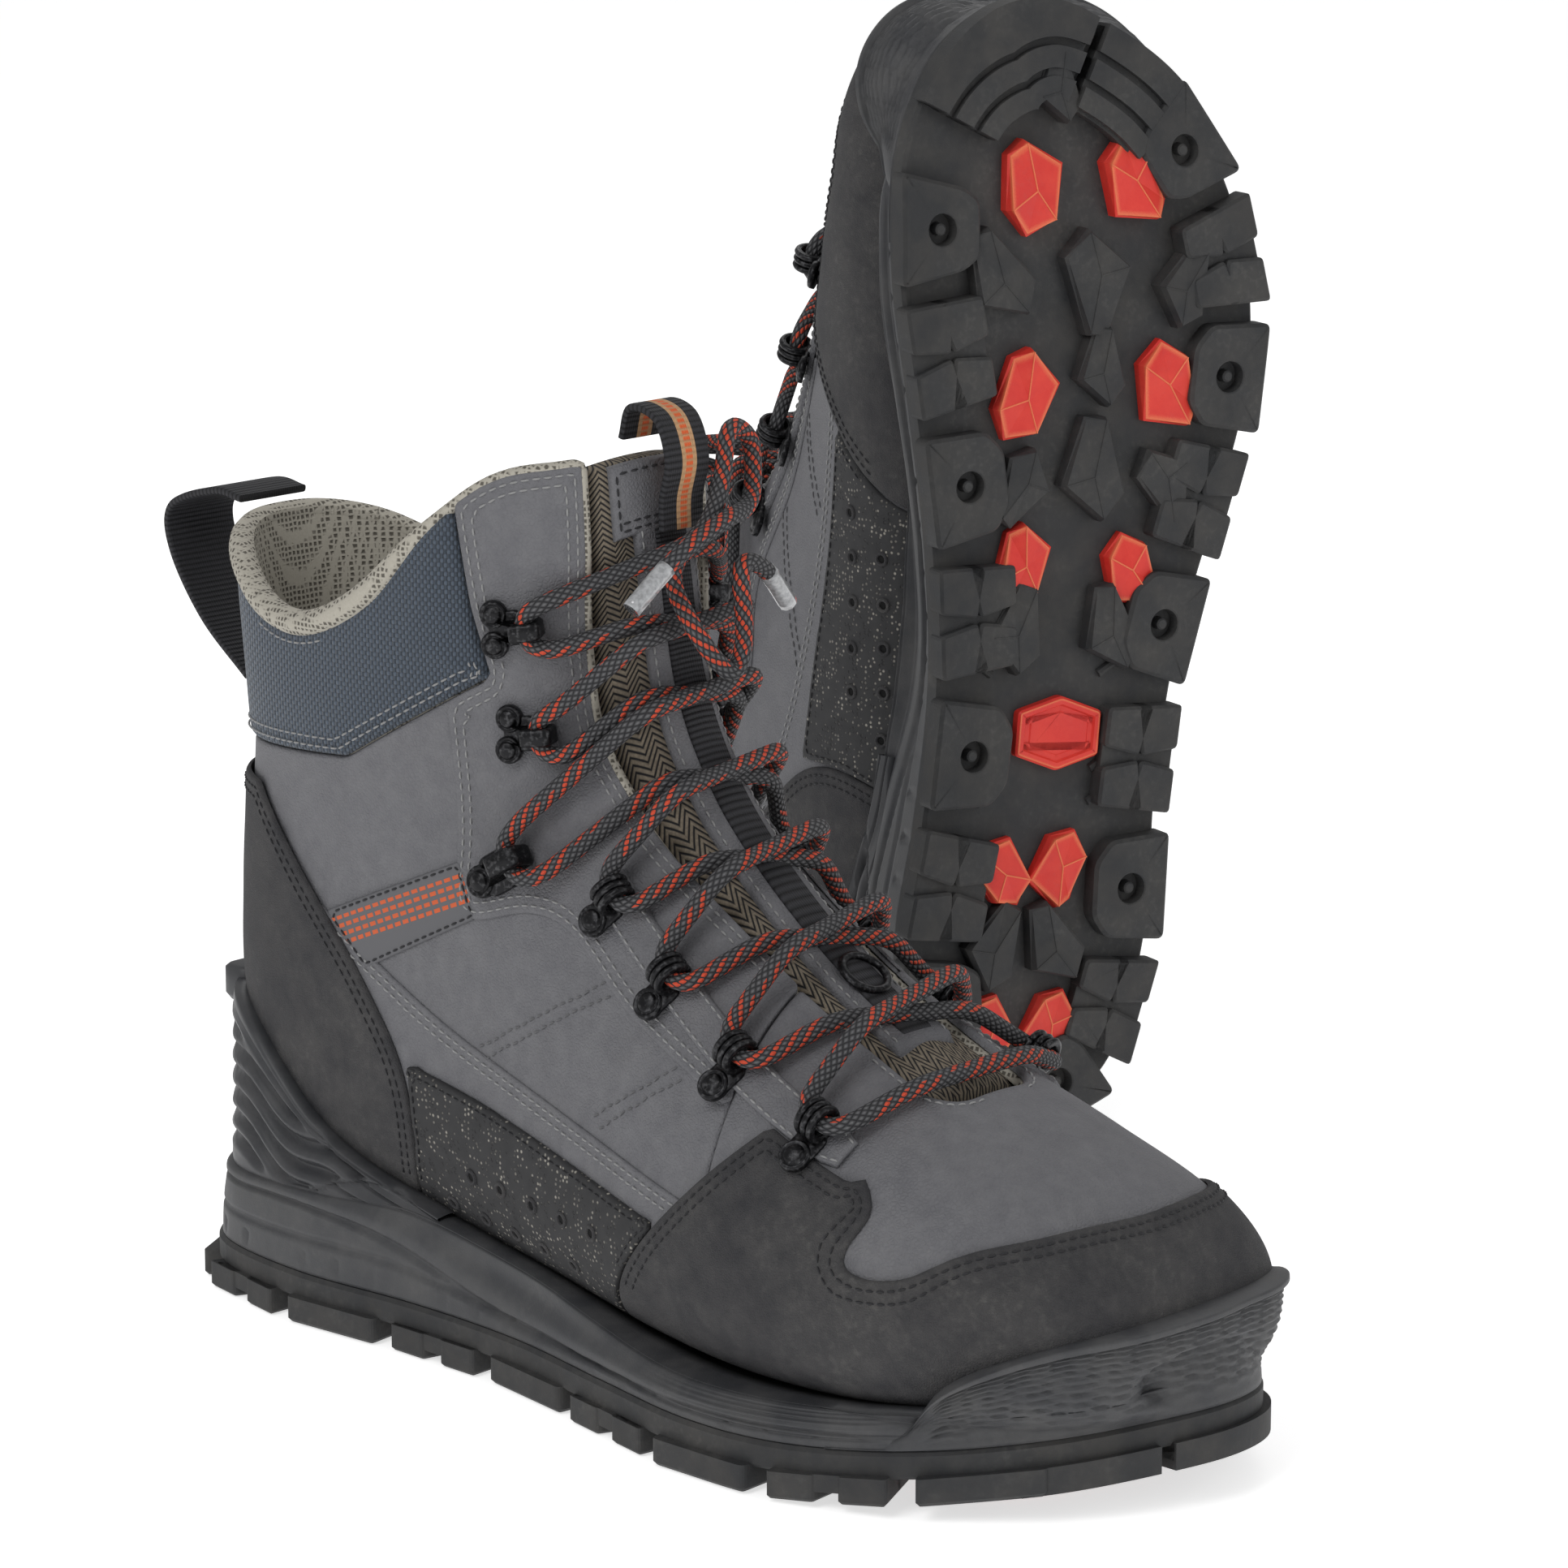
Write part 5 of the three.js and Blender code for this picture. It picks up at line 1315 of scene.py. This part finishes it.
def midsole_shape(x, v, height):
    swoosh = 0.74 - 0.4 * smoothstep((x - 40) / 110) + 0.06 * np.sin(x / 30)
    lower = 0.36 - 0.12 * smoothstep((x - 60) / 90)
    push = 1.0 * bell(v, swoosh, 0.15) - 1.3 * groove(v - swoosh + 0.17, 0.05)
    push = push - 1.0 * groove(v - lower + 0.1, 0.035)
    push = push - 2.2 * bell(x, 138, 34) * bell(v, 0.5, 0.34) - 0.8 * groove(v - 0.9, 0.04)
    ribs = np.cos(v * 2 * math.pi * 9) * bell(x, 240, 24) * bell(v, 0.5, 0.22)
    push = push + 0.45 * ribs + 0.9 * bell(x, 222, 30) * bell(v, 0.45, 0.25)
    slots = groove((x % 13) - 6.5, 0.8) * (v < 0.14) * 0.9
    under_bumper = (push - slots) * smoothstep((282 - x) / 20) - 1.2 * smoothstep((x - 268) / 14)
    return np.where(x > 262, under_bumper, push - slots)


def bumper_shape(x, v, height):
    wrapped = smoothstep((x - 264) / 12)
    band = smoothstep((v - 0.74) / 0.05)
    wave = v * 15 + 0.16 * np.sin(even_t * SOLE_GIRTH * 2 * math.pi / 9)
    ribbed = smoothstep((x - 284 - 12 * (v - 0.4)) / 2.5)
    ribs = (np.abs(np.sin(wave * math.pi)) ** 0.7 - 0.9) * 1.5
    ribs = ribs * ribbed * (1 - band) * smoothstep((v - 0.05) / 0.04)
    return (0.2 + 1.1 * band - 0.5 * ribbed * (1 - band) + ribs) * wrapped - 2.6 * (1 - wrapped)


foot_line = meeting_line(MIDSOLE_TOP + [0, 2.0], 4.0, (0, 13))
midsole_low = sprung(np.column_stack([sole_edge(even_t, np.ones(WALL_STEPS))[0],
                                      np.full(WALL_STEPS, MIDSOLE_LOW)]))
midsole_edge = kept_out(foot_line, 5.0)
fit("midsole", *wall(midsole_low, midsole_edge, foot_line, midsole_shape), midsole_rubber, "black_rubber",
    ["midsole"])
toe_line = meeting_line(BUMPER_TOP, 4.8, (0, 9))
bumper_low = midsole_low + OUTWARDS * 0.6
bumper_points, bumper_faces = wall(bumper_low, kept_out(toe_line, 4.0), toe_line - OUTWARDS * 2,
                                   bumper_shape, 0.8)
in_front = bumper_points[:, 0] > 256
fit("toe_bumper", bumper_points, [f[in_front[f].all(1)] for f in bumper_faces], midsole_rubber,
    "black_rubber", ["toe_bumper"])

# ---- Heel clip ----------------------------------------------------------------------------------------
# Satin moulded polyurethane round the heel: deep wavy ridges inside a pointed frame, and a kick ledge
# behind.
clip_plastic = rubber("clip_plastic", srgb(56, 57, 60), srgb(70, 70, 72), 0.14, 0.42, 0.12)
CLIP_TOP = spline([(-60, 80), (-30, 80), (8, 80), (28, 74), (52, 56), (76, 46), (108, 40), (140, 37),
                   (400, 37)])


def clip_shape(x, v, height):
    frame_edge = np.minimum((0.93 - v) * 30, (70 - x + 30 * (v - 0.5)) * 0.7)
    inner = smoothstep((frame_edge - 1.0) / 1.6) * smoothstep((v - 0.1) / 0.1)
    wave = (height * 1.1 + 2.2 * np.sin(x / 6.0) + 0.35 * x) / 6.4
    ridges = -3.0 * (0.5 + 0.5 * np.cos(2 * math.pi * wave)) ** 1.3 * inner
    bands = -1.2 * groove(np.sin((v + x / 70) * 7.0), 0.3) * (1 - inner) * smoothstep((x - 40) / 20)
    return 0.8 + ridges + bands - 1.0 * groove(frame_edge, 0.7)


clip_line = meeting_line(CLIP_TOP, 6.8, (0, 14))
clip_low = midsole_edge + OUTWARDS * 0.3 - [0, 0, 3.0]
clip_top = kept_out(clip_line, 40)
clip_points, clip_faces = wall(clip_low, clip_top, clip_top - OUTWARDS * 4, clip_shape, 0.8, 0.5)
at_heel = clip_points[:, 0] < 106
clip_part = clip_points, [f[at_heel[f].all(1)] for f in clip_faces]
ledge = block(softened([(-1.4, -15), (9, -15), (9, 15), (-1.4, 15)], 4, 6),
              [(1.2, 82), (0, 81), (0, 74), (1.5, 72)])
fit("heel_clip", *joined([clip_part, ledge])[:2], clip_plastic, "black_tpu", ["heel_clip"])

# ---- Tongue -------------------------------------------------------------------------------------------
# Padded tongue: knit mesh at both sides, a leather strip with ribbed webbing down its middle, and a
# leather patch at its top.
def across_last(u, y):
    """The angle of the last's point that lies y to the inner side at station u."""
    outer, inner = (np.interp(u, np.arange(TOP + 1), STATIONS[:, k]) for k in (4, 5))
    half = np.where(y < 0, outer, inner)
    return -np.sign(y) * np.degrees(np.arcsin(np.clip(np.abs(y) / half, 0, 0.98) ** (1 / 0.9)))


def tongue_sheet(ends, half_width, low, high, rows=90, columns=30, edge=1.0):
    """A rounded strip over the tongue. half_width and high may be functions of u, and of u and y."""
    u = np.linspace(*ends, rows)[:, None]
    side = np.sin(np.linspace(-1, 1, columns) * math.pi / 2)[None]
    width = (half_width(u) if callable(half_width) else half_width) + 0 * u
    y = width * side + 0 * u
    top = high(u, y) if callable(high) else high + 0 * y
    near_end = np.minimum(u - ends[0], ends[1] - u) * 14
    inwards = np.minimum(width - np.abs(y), np.maximum(near_end, 0)) / edge
    curve = np.sqrt(np.clip(1 - (1 - np.clip(inwards, 0, 1)) ** 2, 0, 1))
    under = low + 0 * y
    u = u + 0 * y
    angle = across_last(u, y)
    upper = on_last(u, angle, under + (top - under) * curve)
    lower = on_last(u, angle, under - 0.05)
    uv = np.stack([u * 16, y], -1)
    n, m = rows, columns
    i = (np.arange(n - 1)[:, None] * m + np.arange(m - 1)).ravel()
    quads = np.stack([i, i + m, i + m + 1, i + 1], 1)
    ring = np.concatenate([np.arange(m), np.arange(1, n) * m + m - 1, (n - 1) * m + np.arange(m - 2, -1, -1),
                           np.arange(n - 2, 0, -1) * m])
    walls = np.stack([ring, np.roll(ring, -1), np.roll(ring, -1) + n * m, ring + n * m], 1)
    points = np.vstack([upper.reshape(-1, 3), lower.reshape(-1, 3)])
    normal = np.cross(points[quads[0, 1]] - points[quads[0, 0]], points[quads[0, 2]] - points[quads[0, 0]])
    faces = [quads, quads[:, ::-1] + n * m, walls]
    if normal.dot(last_frame(u[0, 0], angle[0, 0])[0]) < 0:
        faces = [f[:, ::-1] for f in faces]
    return points, faces, np.tile(uv.reshape(-1, 2), (2, 1))


def ribbed_webbing(name, dark, light, stripe=None):
    """Woven tape with ribs across it, shade painted into the grooves between the ribs, and a coloured centre
    stripe where given.
    """
    material, tree, shader, place = start_material(name, 0.7)
    axes = add(tree, "ShaderNodeSeparateXYZ", {0: woven_place(tree)})
    ribs, warp = ridges(tree, axes.outputs[0], 1.5), ridges(tree, axes.outputs[1], 0.8)
    height = calculate(tree, "ADD", ribs, scaled(tree, warp, 0.35))
    # Painted shade: the ribs are light on their crowns and dark in the grooves between them.
    tone = mixed(tree, scaled(tree, ribs, 0.8), dark, light)
    if stripe:
        centre = calculate(tree, "LESS_THAN", calculate(tree, "ABSOLUTE", axes.outputs[1]), 2.6)
        cells = calculate(tree, "LESS_THAN", calculate(tree, "ABSOLUTE", axes.outputs[1]), 1.2)
        bright = mixed(tree, scaled(tree, cells, ribs), stripe[0], stripe[1])
        tone = mixed(tree, centre, tone, bright)
    tree.links.new(tone, shader.inputs["Base Color"])
    raise_surface(tree, shader, height, 0.35)
    return material


def herringbone():
    """Black and tan knit in a herringbone."""
    material, tree, shader, place = start_material("tongue_knit", 0.85)
    axes = add(tree, "ShaderNodeSeparateXYZ", {0: woven_place(tree)})
    share = calculate(tree, "FRACT", calculate(tree, "DIVIDE", axes.outputs[1], 5.0))
    fold = calculate(tree, "ABSOLUTE", calculate(tree, "SUBTRACT", share, 0.5))
    slope = calculate(tree, "ADD", axes.outputs[0], scaled(tree, fold, 7.0))
    rows = ridges(tree, slope, 1.8)
    fibres = add(tree, "ShaderNodeTexNoise", {"Vector": place, "Scale": 1.5, "Detail": 3.0})
    tan = mixed(tree, fibres.outputs[0], srgb(84, 78, 70), srgb(150, 138, 120))
    paint(tree, shader, ramp(tree, rows, 0.35, 0.75), srgb(34, 34, 36), tan)
    raise_surface(tree, shader, rows, 0.4)
    return material


TONGUE = (3.62, 13.38)
tongue_knit = herringbone()
black_webbing = ribbed_webbing("black_webbing", srgb(18, 18, 20), srgb(52, 52, 56))


def tongue_face(u, y):
    beside = smoothstep((np.abs(y) - gap_half(u) + 3.2) / 3.0)
    quilt = 0.5 * np.cos(y / 3.4) * (1 - beside)
    return -0.9 - 2.4 * beside + quilt


tongue_part = tongue_sheet(TONGUE, lambda u: gap_half(u) + 7.5, -6.7, tongue_face, 160, 60, 2.5)
tongue_pieces = fit("tongue", *tongue_part[:2], tongue_knit, "grey_leather", ["tongue"], uv=tongue_part[2])
strip_part = tongue_sheet((4.2, 12.1), 10.5, -1.6, 0.6)
fit("tongue_strip", *strip_part[:2], grey_leather, "grey_leather")
tape_part = tongue_sheet((4.35, 11.95), 5.2, 0.5, 1.5, edge=0.6)
fit("tongue_tape", *tape_part[:2], black_webbing, "webbing", uv=tape_part[2])
patch_part = tongue_sheet((11.9, 13.3), lambda u: 15.5 + 0 * u, -1.6, 0.7)
fit("tongue_patch", *patch_part[:2], grey_leather, "grey_leather")


def tongue_rows(name, lines, lift, material):
    rows = []
    for us, y in lines:
        u = np.linspace(*us, 60)
        y = np.linspace(*y, 60) if np.ndim(y) else np.full(60, float(y))
        angle = across_last(u, y)
        rows.append(stitch_row(on_last(u, angle, lift + 0 * u), last_frame(u, angle)[0]))
    fit(name, *joined(rows)[:2], material, "lacing")


tongue_rows("tongue_strip_seams", [((4.3, 12), s * 8.8) for s in (-1, 1)], 0.6, pale_thread)
tongue_rows("tongue_patch_seams", [((12.05, 12.05), (-13.5, 13.5)), ((12.2, 12.2), (-13.5, 13.5)),
                                   ((13.12, 13.12),
                                    (-13.5, 13.5))] + [((12.05, 13.12), s * 13.8) for s in (-1, 1)],
            0.7, dark_thread)


# ---- Pull loops ---------------------------------------------------------------------------------------
# Folded tape: the tongue's is ribbed with a tan and orange centre stripe, the heel's is broad and plain.
# The heel loop of the boot that lies down is pressed flat under it.
def strap(path, width, thickness=2.0):
    line = spline([(x, 0, z) for x, z in path], 16)
    line, _ = respaced(line, 1.0)
    run = unit(np.gradient(line, axis=0))
    side = np.cross(run, [0.0, 1, 0])
    w, t = width / 2, thickness / 2
    outline = softened([(-w, -t), (w, -t), (w, t), (-w, t)], 0.8, 4)
    outline = np.vstack([np.column_stack([np.linspace(a[0], b[0], 4)[:-1], np.linspace(a[1], b[1], 4)[:-1]])
                         for a, b in zip(outline, np.roll(outline, -1, 0))])
    loops = [p + o[:, :1] * [0, 1, 0] + o[:, 1:] * s for p, s, o in zip(line, side, [outline] * len(line))]
    points, faces = skin(loops)
    uv = np.stack(np.broadcast_arrays(np.arange(len(line))[:, None] * 1.0, outline[None, :, 0]),
                  -1).reshape(-1, 2)
    if np.cross(outline[1] - outline[0], outline[2] - outline[1]) > 0:
        faces = [f[:, ::-1] for f in faces]
    return points, faces, uv


striped_webbing = ribbed_webbing("striped_webbing", srgb(16, 16, 18), srgb(50, 50, 54),
                                 (srgb(190, 150, 110), srgb(214, 92, 42)))
x, z = 157.5, 222
loop_part = strap([(x, z - 3), (x, z + 5), (x + 2, z + 15), (x - 2, z + 25), (x - 11, z + 27),
                   (x - 14, z + 19)], 15)
fit("tongue_pull_loop", *loop_part[:2], striped_webbing, "webbing", ["tongue_pull_loop"], "tongue_loop",
    uv=loop_part[2])
HEEL_ROOT, HEEL_STAND = 9, 6
for side, reach in (("right", 24), ("left", 4)):
    back = HEEL_ROOT - HEEL_STAND - reach
    folded = 24 - reach
    heel_part = strap([
        (HEEL_ROOT - 2, 210), (HEEL_ROOT - 8 - reach * 0.2, 211 + folded * 0.5),
        (back, 205 + folded * 0.3), (back, 193),
        (HEEL_ROOT - 5 - reach * 0.55, 176), (HEEL_ROOT - 1, 162),
    ], 24)
    fit("heel_pull_loop", *heel_part[:2], black_webbing, "webbing", ["heel_pull_loop"], uv=heel_part[2],
        sides=[side])


# ---- Metal hardware -----------------------------------------------------------------------------------
# Satin black steel: riveted loops with three finger-like bars over the lace, a large hook that locks the
# lace, two open hooks with a pair of domed rivets each, and the gaiter ring at the foot of the laces.
def satin_metal():
    material, tree, shader, place = start_material("black_metal", 0.36, 0.75, 0.5)
    wear = add(tree, "ShaderNodeTexNoise", {"Vector": place, "Scale": 0.9, "Detail": 5.0})
    paint(tree, shader, ramp(tree, wear.outputs[0], 0.5, 0.75), srgb(30, 30, 32), srgb(84, 84, 86))
    tree.links.new(ramp(tree, wear.outputs[0], 0.3, 0.7, 0.28, 0.5), shader.inputs["Roughness"])
    raise_surface(tree, shader, wear.outputs[0], 0.06)
    return material


black_metal = satin_metal()


def revolved(profile, sides=20):
    """A solid of revolution about z, from (radius, height) points that start on the outside and end at the top."""
    turn = np.linspace(0, 2 * math.pi, sides, endpoint=False)
    loops = [np.column_stack([r * np.cos(turn), r * np.sin(turn), np.full(sides, z)]) for r, z in profile]
    return skin(loops[::-1])


def rivet(x, y, radius, height):
    rings = [(radius, 0), (radius, height * 0.45), (radius * 0.93, height * 0.72),
             (radius * 0.82, height * 0.78),
             (radius * 0.72, height * 0.6), (radius * 0.66, height * 0.6), (radius * 0.6, height * 0.82),
             (radius * 0.5, height * 0.96), (radius * 0.1, height)]
    points, faces = revolved(rings)
    return points + [x, y, 0], faces


def slab(outline, half, bevel=0.5):
    """A bar whose side view is the outline (x, z), from -half to half in y."""
    points, faces = block(softened(outline, 0.7, 3),
                          [(bevel, half), (0, half - bevel), (0, bevel - half), (bevel, -half)])
    return points[:, [0, 2, 1]] * [1, -1, 1], faces


def set_on(part, u, angle, lift):
    out, forward, rise = last_frame(u, angle)
    basis = np.stack([forward, rise, out])
    points = on_last(u, angle, lift) + part[0] @ basis
    return points, part[1] if np.linalg.det(basis) > 0 else [f[:, ::-1] for f in part[1]]


def lace_loop():
    parts = [block(softened([(-10.5, -4), (0.5, -4), (0.5, 4), (-10.5, 4)], 2.5, 5),
                   [(0.4, 1.1), (0, 0.7), (0, 0)])]
    parts.append(rivet(-8, 0, 4.2, 2.4))
    turn = np.linspace(0, 2 * math.pi, 37)
    for y in (-2.1, 0, 2.1):
        radius = 3.4 + 0.95
        ring = np.column_stack([BORE[0] + radius * np.cos(turn), np.full(37, y), 4.4 + radius * np.sin(turn)])
        parts.append(tube(ring, 0.95, 8)[:2])
    sleeve = [(3.45, -3), (4.3, -2.6), (4.3, 2.6), (3.45, 3)]
    loops = [np.column_stack([BORE[0] + r * np.cos(turn[:-1]), np.full(36, y),
                              4.4 + r * np.sin(turn[:-1])]) for r, y in sleeve]
    points, faces = skin(loops, False)
    k = np.arange(36)
    faces.append(np.stack([108 + k, k, (k + 1) % 36, 108 + (k + 1) % 36], 1))
    parts.append((points, faces))
    return joined(parts)[:2]


def lace_hook(size, rivets):
    profile = [(-9, 0), (5, 0), (6, 1.5), (6, 6.8), (4.6, 8), (-2, 8), (-2, 6.8), (3.2, 6.8), (4, 5.8),
               (4, 1.2), (-9, 1.2)]
    parts = [slab(profile, 2.2)]
    parts.append(block(softened([(-8.5, -4.5), (0.5, -4.5), (0.5, 4.5), (-8.5, 4.5)], 2.5, 5),
                       [(0.4, 1.3), (0, 0.9), (0, 0)]))
    parts += [rivet(x, y, 3.6, 2.6) for x, y in rivets]
    points, faces = joined(parts)[:2]
    return points * size, faces


HOOK_NAMES = ["lock_hook", "hook_lower", "hook_upper"]
for half, side in (("lateral", 1), ("medial", -1)):
    loops = [set_on(lace_loop(), u, side * LOOP_ANGLE, LOOP_LIFT) for u in LOOP_STATIONS]
    fit(f"lace_loops_{half}", *joined(loops)[:2], black_metal, "black_metal", [f"lace_loops_{half}"])
    for name, (u, angle, size, rivets) in zip(HOOK_NAMES, HOOKS):
        fit(f"{name}_{half}", *set_on(lace_hook(size, rivets), u, side * angle, HOOK_LIFT), black_metal,
            "black_metal",
            [f"{name}_{half}"])

    def strip_edge(p, u, angle, side=side):
        return LANE - 0.3 - np.linalg.norm(p - last(u, 0 * u + side * LOOP_ANGLE),
                                           axis=-1) - 8 * np.maximum(0, 3.9 - u)

    loop_strip = Panel(strip_edge, (3.75, 7.2), (min(side * 25, side * 62), max(side * 25, side * 62)),
                       (0.05, 0.8))
    fit(f"loop_strip_{half}", *loop_strip.solid(2.0, 3.6, 0.8), grey_leather, "grey_leather")
    seams(f"loop_strip_seams_{half}", loop_strip, 3.6, (1.1,), pale_thread, radius=0.3)
ring_turn = np.linspace(0, 2 * math.pi, 49)
ring_path = np.column_stack([6.2 * np.cos(ring_turn), 6.2 * np.sin(ring_turn), 0 * ring_turn])
fit("gaiter_ring", *set_on(tube(ring_path, 1.1, 10)[:2], 5.02, 0.01, 2), black_metal, "black_metal",
    ["gaiter_ring"], "ring")

# ---- Small trim ---------------------------------------------------------------------------------------
# Drain holes with thin rims in the side panels, each hole a near-black disc of painted shade, and a woven tape
# label with rows of orange dashes.
SEARCH_U, SEARCH_ANGLE = np.meshgrid(np.linspace(2, 12, 400), np.linspace(20, 178, 300), indexing="ij")
SEARCH = last(SEARCH_U, SEARCH_ANGLE)


def locate(x, z):
    k = ((SEARCH[..., 0] - x) ** 2 + (SEARCH[..., 2] - z) ** 2).argmin()
    return SEARCH_U.flat[k], SEARCH_ANGLE.flat[k]


rims, wells = [], []
for row_start, row_end in (((121, 52), (175, 50)), ((109, 42), (163, 39))):
    for x, z in np.linspace(row_start, row_end, 5):
        u, angle = locate(x, z)
        for side in (1, -1):
            ring = np.column_stack([1.7 * np.cos(ring_turn), 1.7 * np.sin(ring_turn), 0 * ring_turn])
            rims.append(set_on(tube(ring, 0.55, 8)[:2], u, side * angle, OVERLAY[1] + 0.1))
            # Painted shade: a near-black disc just under the panel's face stands for the dark inside of the hole.
            wells.append(set_on(revolved([(1.6, 0), (1.5, 0.05), (0.2, 0.05)]), u, side * angle,
                                OVERLAY[1] - 0.02))
cross_rows = []
for start, end in (((123, 84), (166, 108)), ((170, 76), (196, 93))):
    for shift in (-1.2, 1.2):
        spots = [locate(x + shift, z - shift) for x, z in np.linspace(start, end, 12)]
        for side in (1, -1):
            u, angle = np.array(spots).T[0], side * np.array(spots).T[1]
            cross_rows.append(stitch_row(on_last(u, angle, 1.2 + 0 * u), last_frame(u, angle)[0]))
fit("cross_seams", *joined(cross_rows)[:2], grey_thread, "lacing")
fit("drain_rims", *joined(rims)[:2], nubuck, "black_leather")
# Painted shade: the near-black discs that stand for the inside of the drain holes.
hole_shade_paint = rubber("hole_painted_shade", srgb(8, 8, 9), srgb(14, 14, 15), 0.0, 0.9)
fit("drain_hole_shade", *joined(wells)[:2], hole_shade_paint, "black_leather")


def label_tape():
    material, tree, shader, place = start_material("label_tape", 0.75)
    axes = add(tree, "ShaderNodeSeparateXYZ", {0: place})
    run = calculate(tree, "ADD", scaled(tree, axes.outputs[0], 0.92), scaled(tree, axes.outputs[2], 0.38))
    rise = calculate(tree, "SUBTRACT", scaled(tree, axes.outputs[2], 0.92),
                     scaled(tree, axes.outputs[0], 0.38))
    row = bars(tree, rise, 2.2, 0.5)
    dash = bars(tree, run, 3.0, 0.72)
    middle = calculate(tree, "LESS_THAN", calculate(tree, "ABSOLUTE",
                                                    calculate(tree, "SUBTRACT", rise, 71.5)), 4.3)
    mask = scaled(tree, calculate(tree, "MULTIPLY", row, dash), middle)
    paint(tree, shader, mask, srgb(96, 96, 99), srgb(196, 92, 56))
    raise_surface(tree, shader, mask, 0.3)
    return material


LABEL = side_view([(64, 111.5), (112, 132), (118.5, 118), (79, 98.5)])
label = Panel(all_of(seen_from(LABEL)), (5, 12), (40, 176), (0.03, 0.8))
fit("tape_label", *label.solid(1.2, 2.1, 0.5), label_tape(), "grey_leather")
seams("tape_label_seams", label, 2.1, (1.0,), dark_thread)

# ---- Inside the boot ----------------------------------------------------------------------------------
# A dark foam footbed on the board; the board and the shank keep their plain moulded shapes.
foam = open_mesh("footbed_cover", srgb(60, 61, 64), srgb(30, 30, 32), 1.0)
bed = Panel(lambda p, u, a: 38 - p[..., 2], (0.4, 10.5), (95, 265))
for piece in fit("footbed", *bed.solid(-7.2, -2.9, 1.5), foam, "footbed_foam", ["footbed"]).values():
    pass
board_material = leather("fibre_board", srgb(176, 160, 130), srgb(150, 136, 110), 1.5, 0.0)
shank_material = rubber("shank_nylon", srgb(40, 40, 42), srgb(52, 52, 54), 0.0, 0.5)
for side in SIDES:
    for node, material in (("insole_board", board_material), ("shank", shank_material)):
        mesh = frame["nodes"][f"{side}_{node}"].data
        mesh.materials.clear()
        mesh.materials.append(material)

# ---- Floor and light ----------------------------------------------------------------------------------
scene = bpy.context.scene
scene.view_settings.view_transform = "Standard"
world = bpy.data.worlds.new("studio")
world.use_nodes = True
world.node_tree.nodes["Background"].inputs[0].default_value = (1, 1, 1, 1)
world.node_tree.nodes["Background"].inputs[1].default_value = 0.42
scene.world = world
floor_mesh = new_mesh("floor", np.array([[-6, -6, 0], [6, -6, 0], [6, 6, 0], [-6, 6, 0.0]]),
                      [np.array([[0, 1, 2, 3]])])
floor = bpy.data.objects.new("floor", floor_mesh)
scene.collection.objects.link(floor)
floor.location.z = -0.0004
floor_material = bpy.data.materials.new("floor")
floor_material.use_nodes = True
floor_finish = {"Base Color": (0.88, 0.88, 0.88, 1), "Roughness": 0.9, "Emission Color": (1, 1, 1, 1),
                "Emission Strength": 0.62}
for key, value in floor_finish.items():
    floor_material.node_tree.nodes["Principled BSDF"].inputs[key].default_value = value
floor_mesh.materials.append(floor_material)


def area_light(name, place, size, power):
    data = bpy.data.lights.new(name, "AREA")
    data.shape = "RECTANGLE"
    data.size, data.size_y = size
    data.energy = power
    lamp = bpy.data.objects.new(name, data)
    scene.collection.objects.link(lamp)
    lamp.location = place
    lamp.rotation_euler = (Vector(aim) - Vector(place)).to_track_quat("-Z", "Y").to_euler()


area_light("key", (-0.9, -1.3, 1.5), (1.0, 1.0), 13)
area_light("fill", (1.5, -1.0, 0.8), (1.0, 1.4), 5)
area_light("rim", (0.2, 1.4, 1.5), (1.6, 0.8), 7)
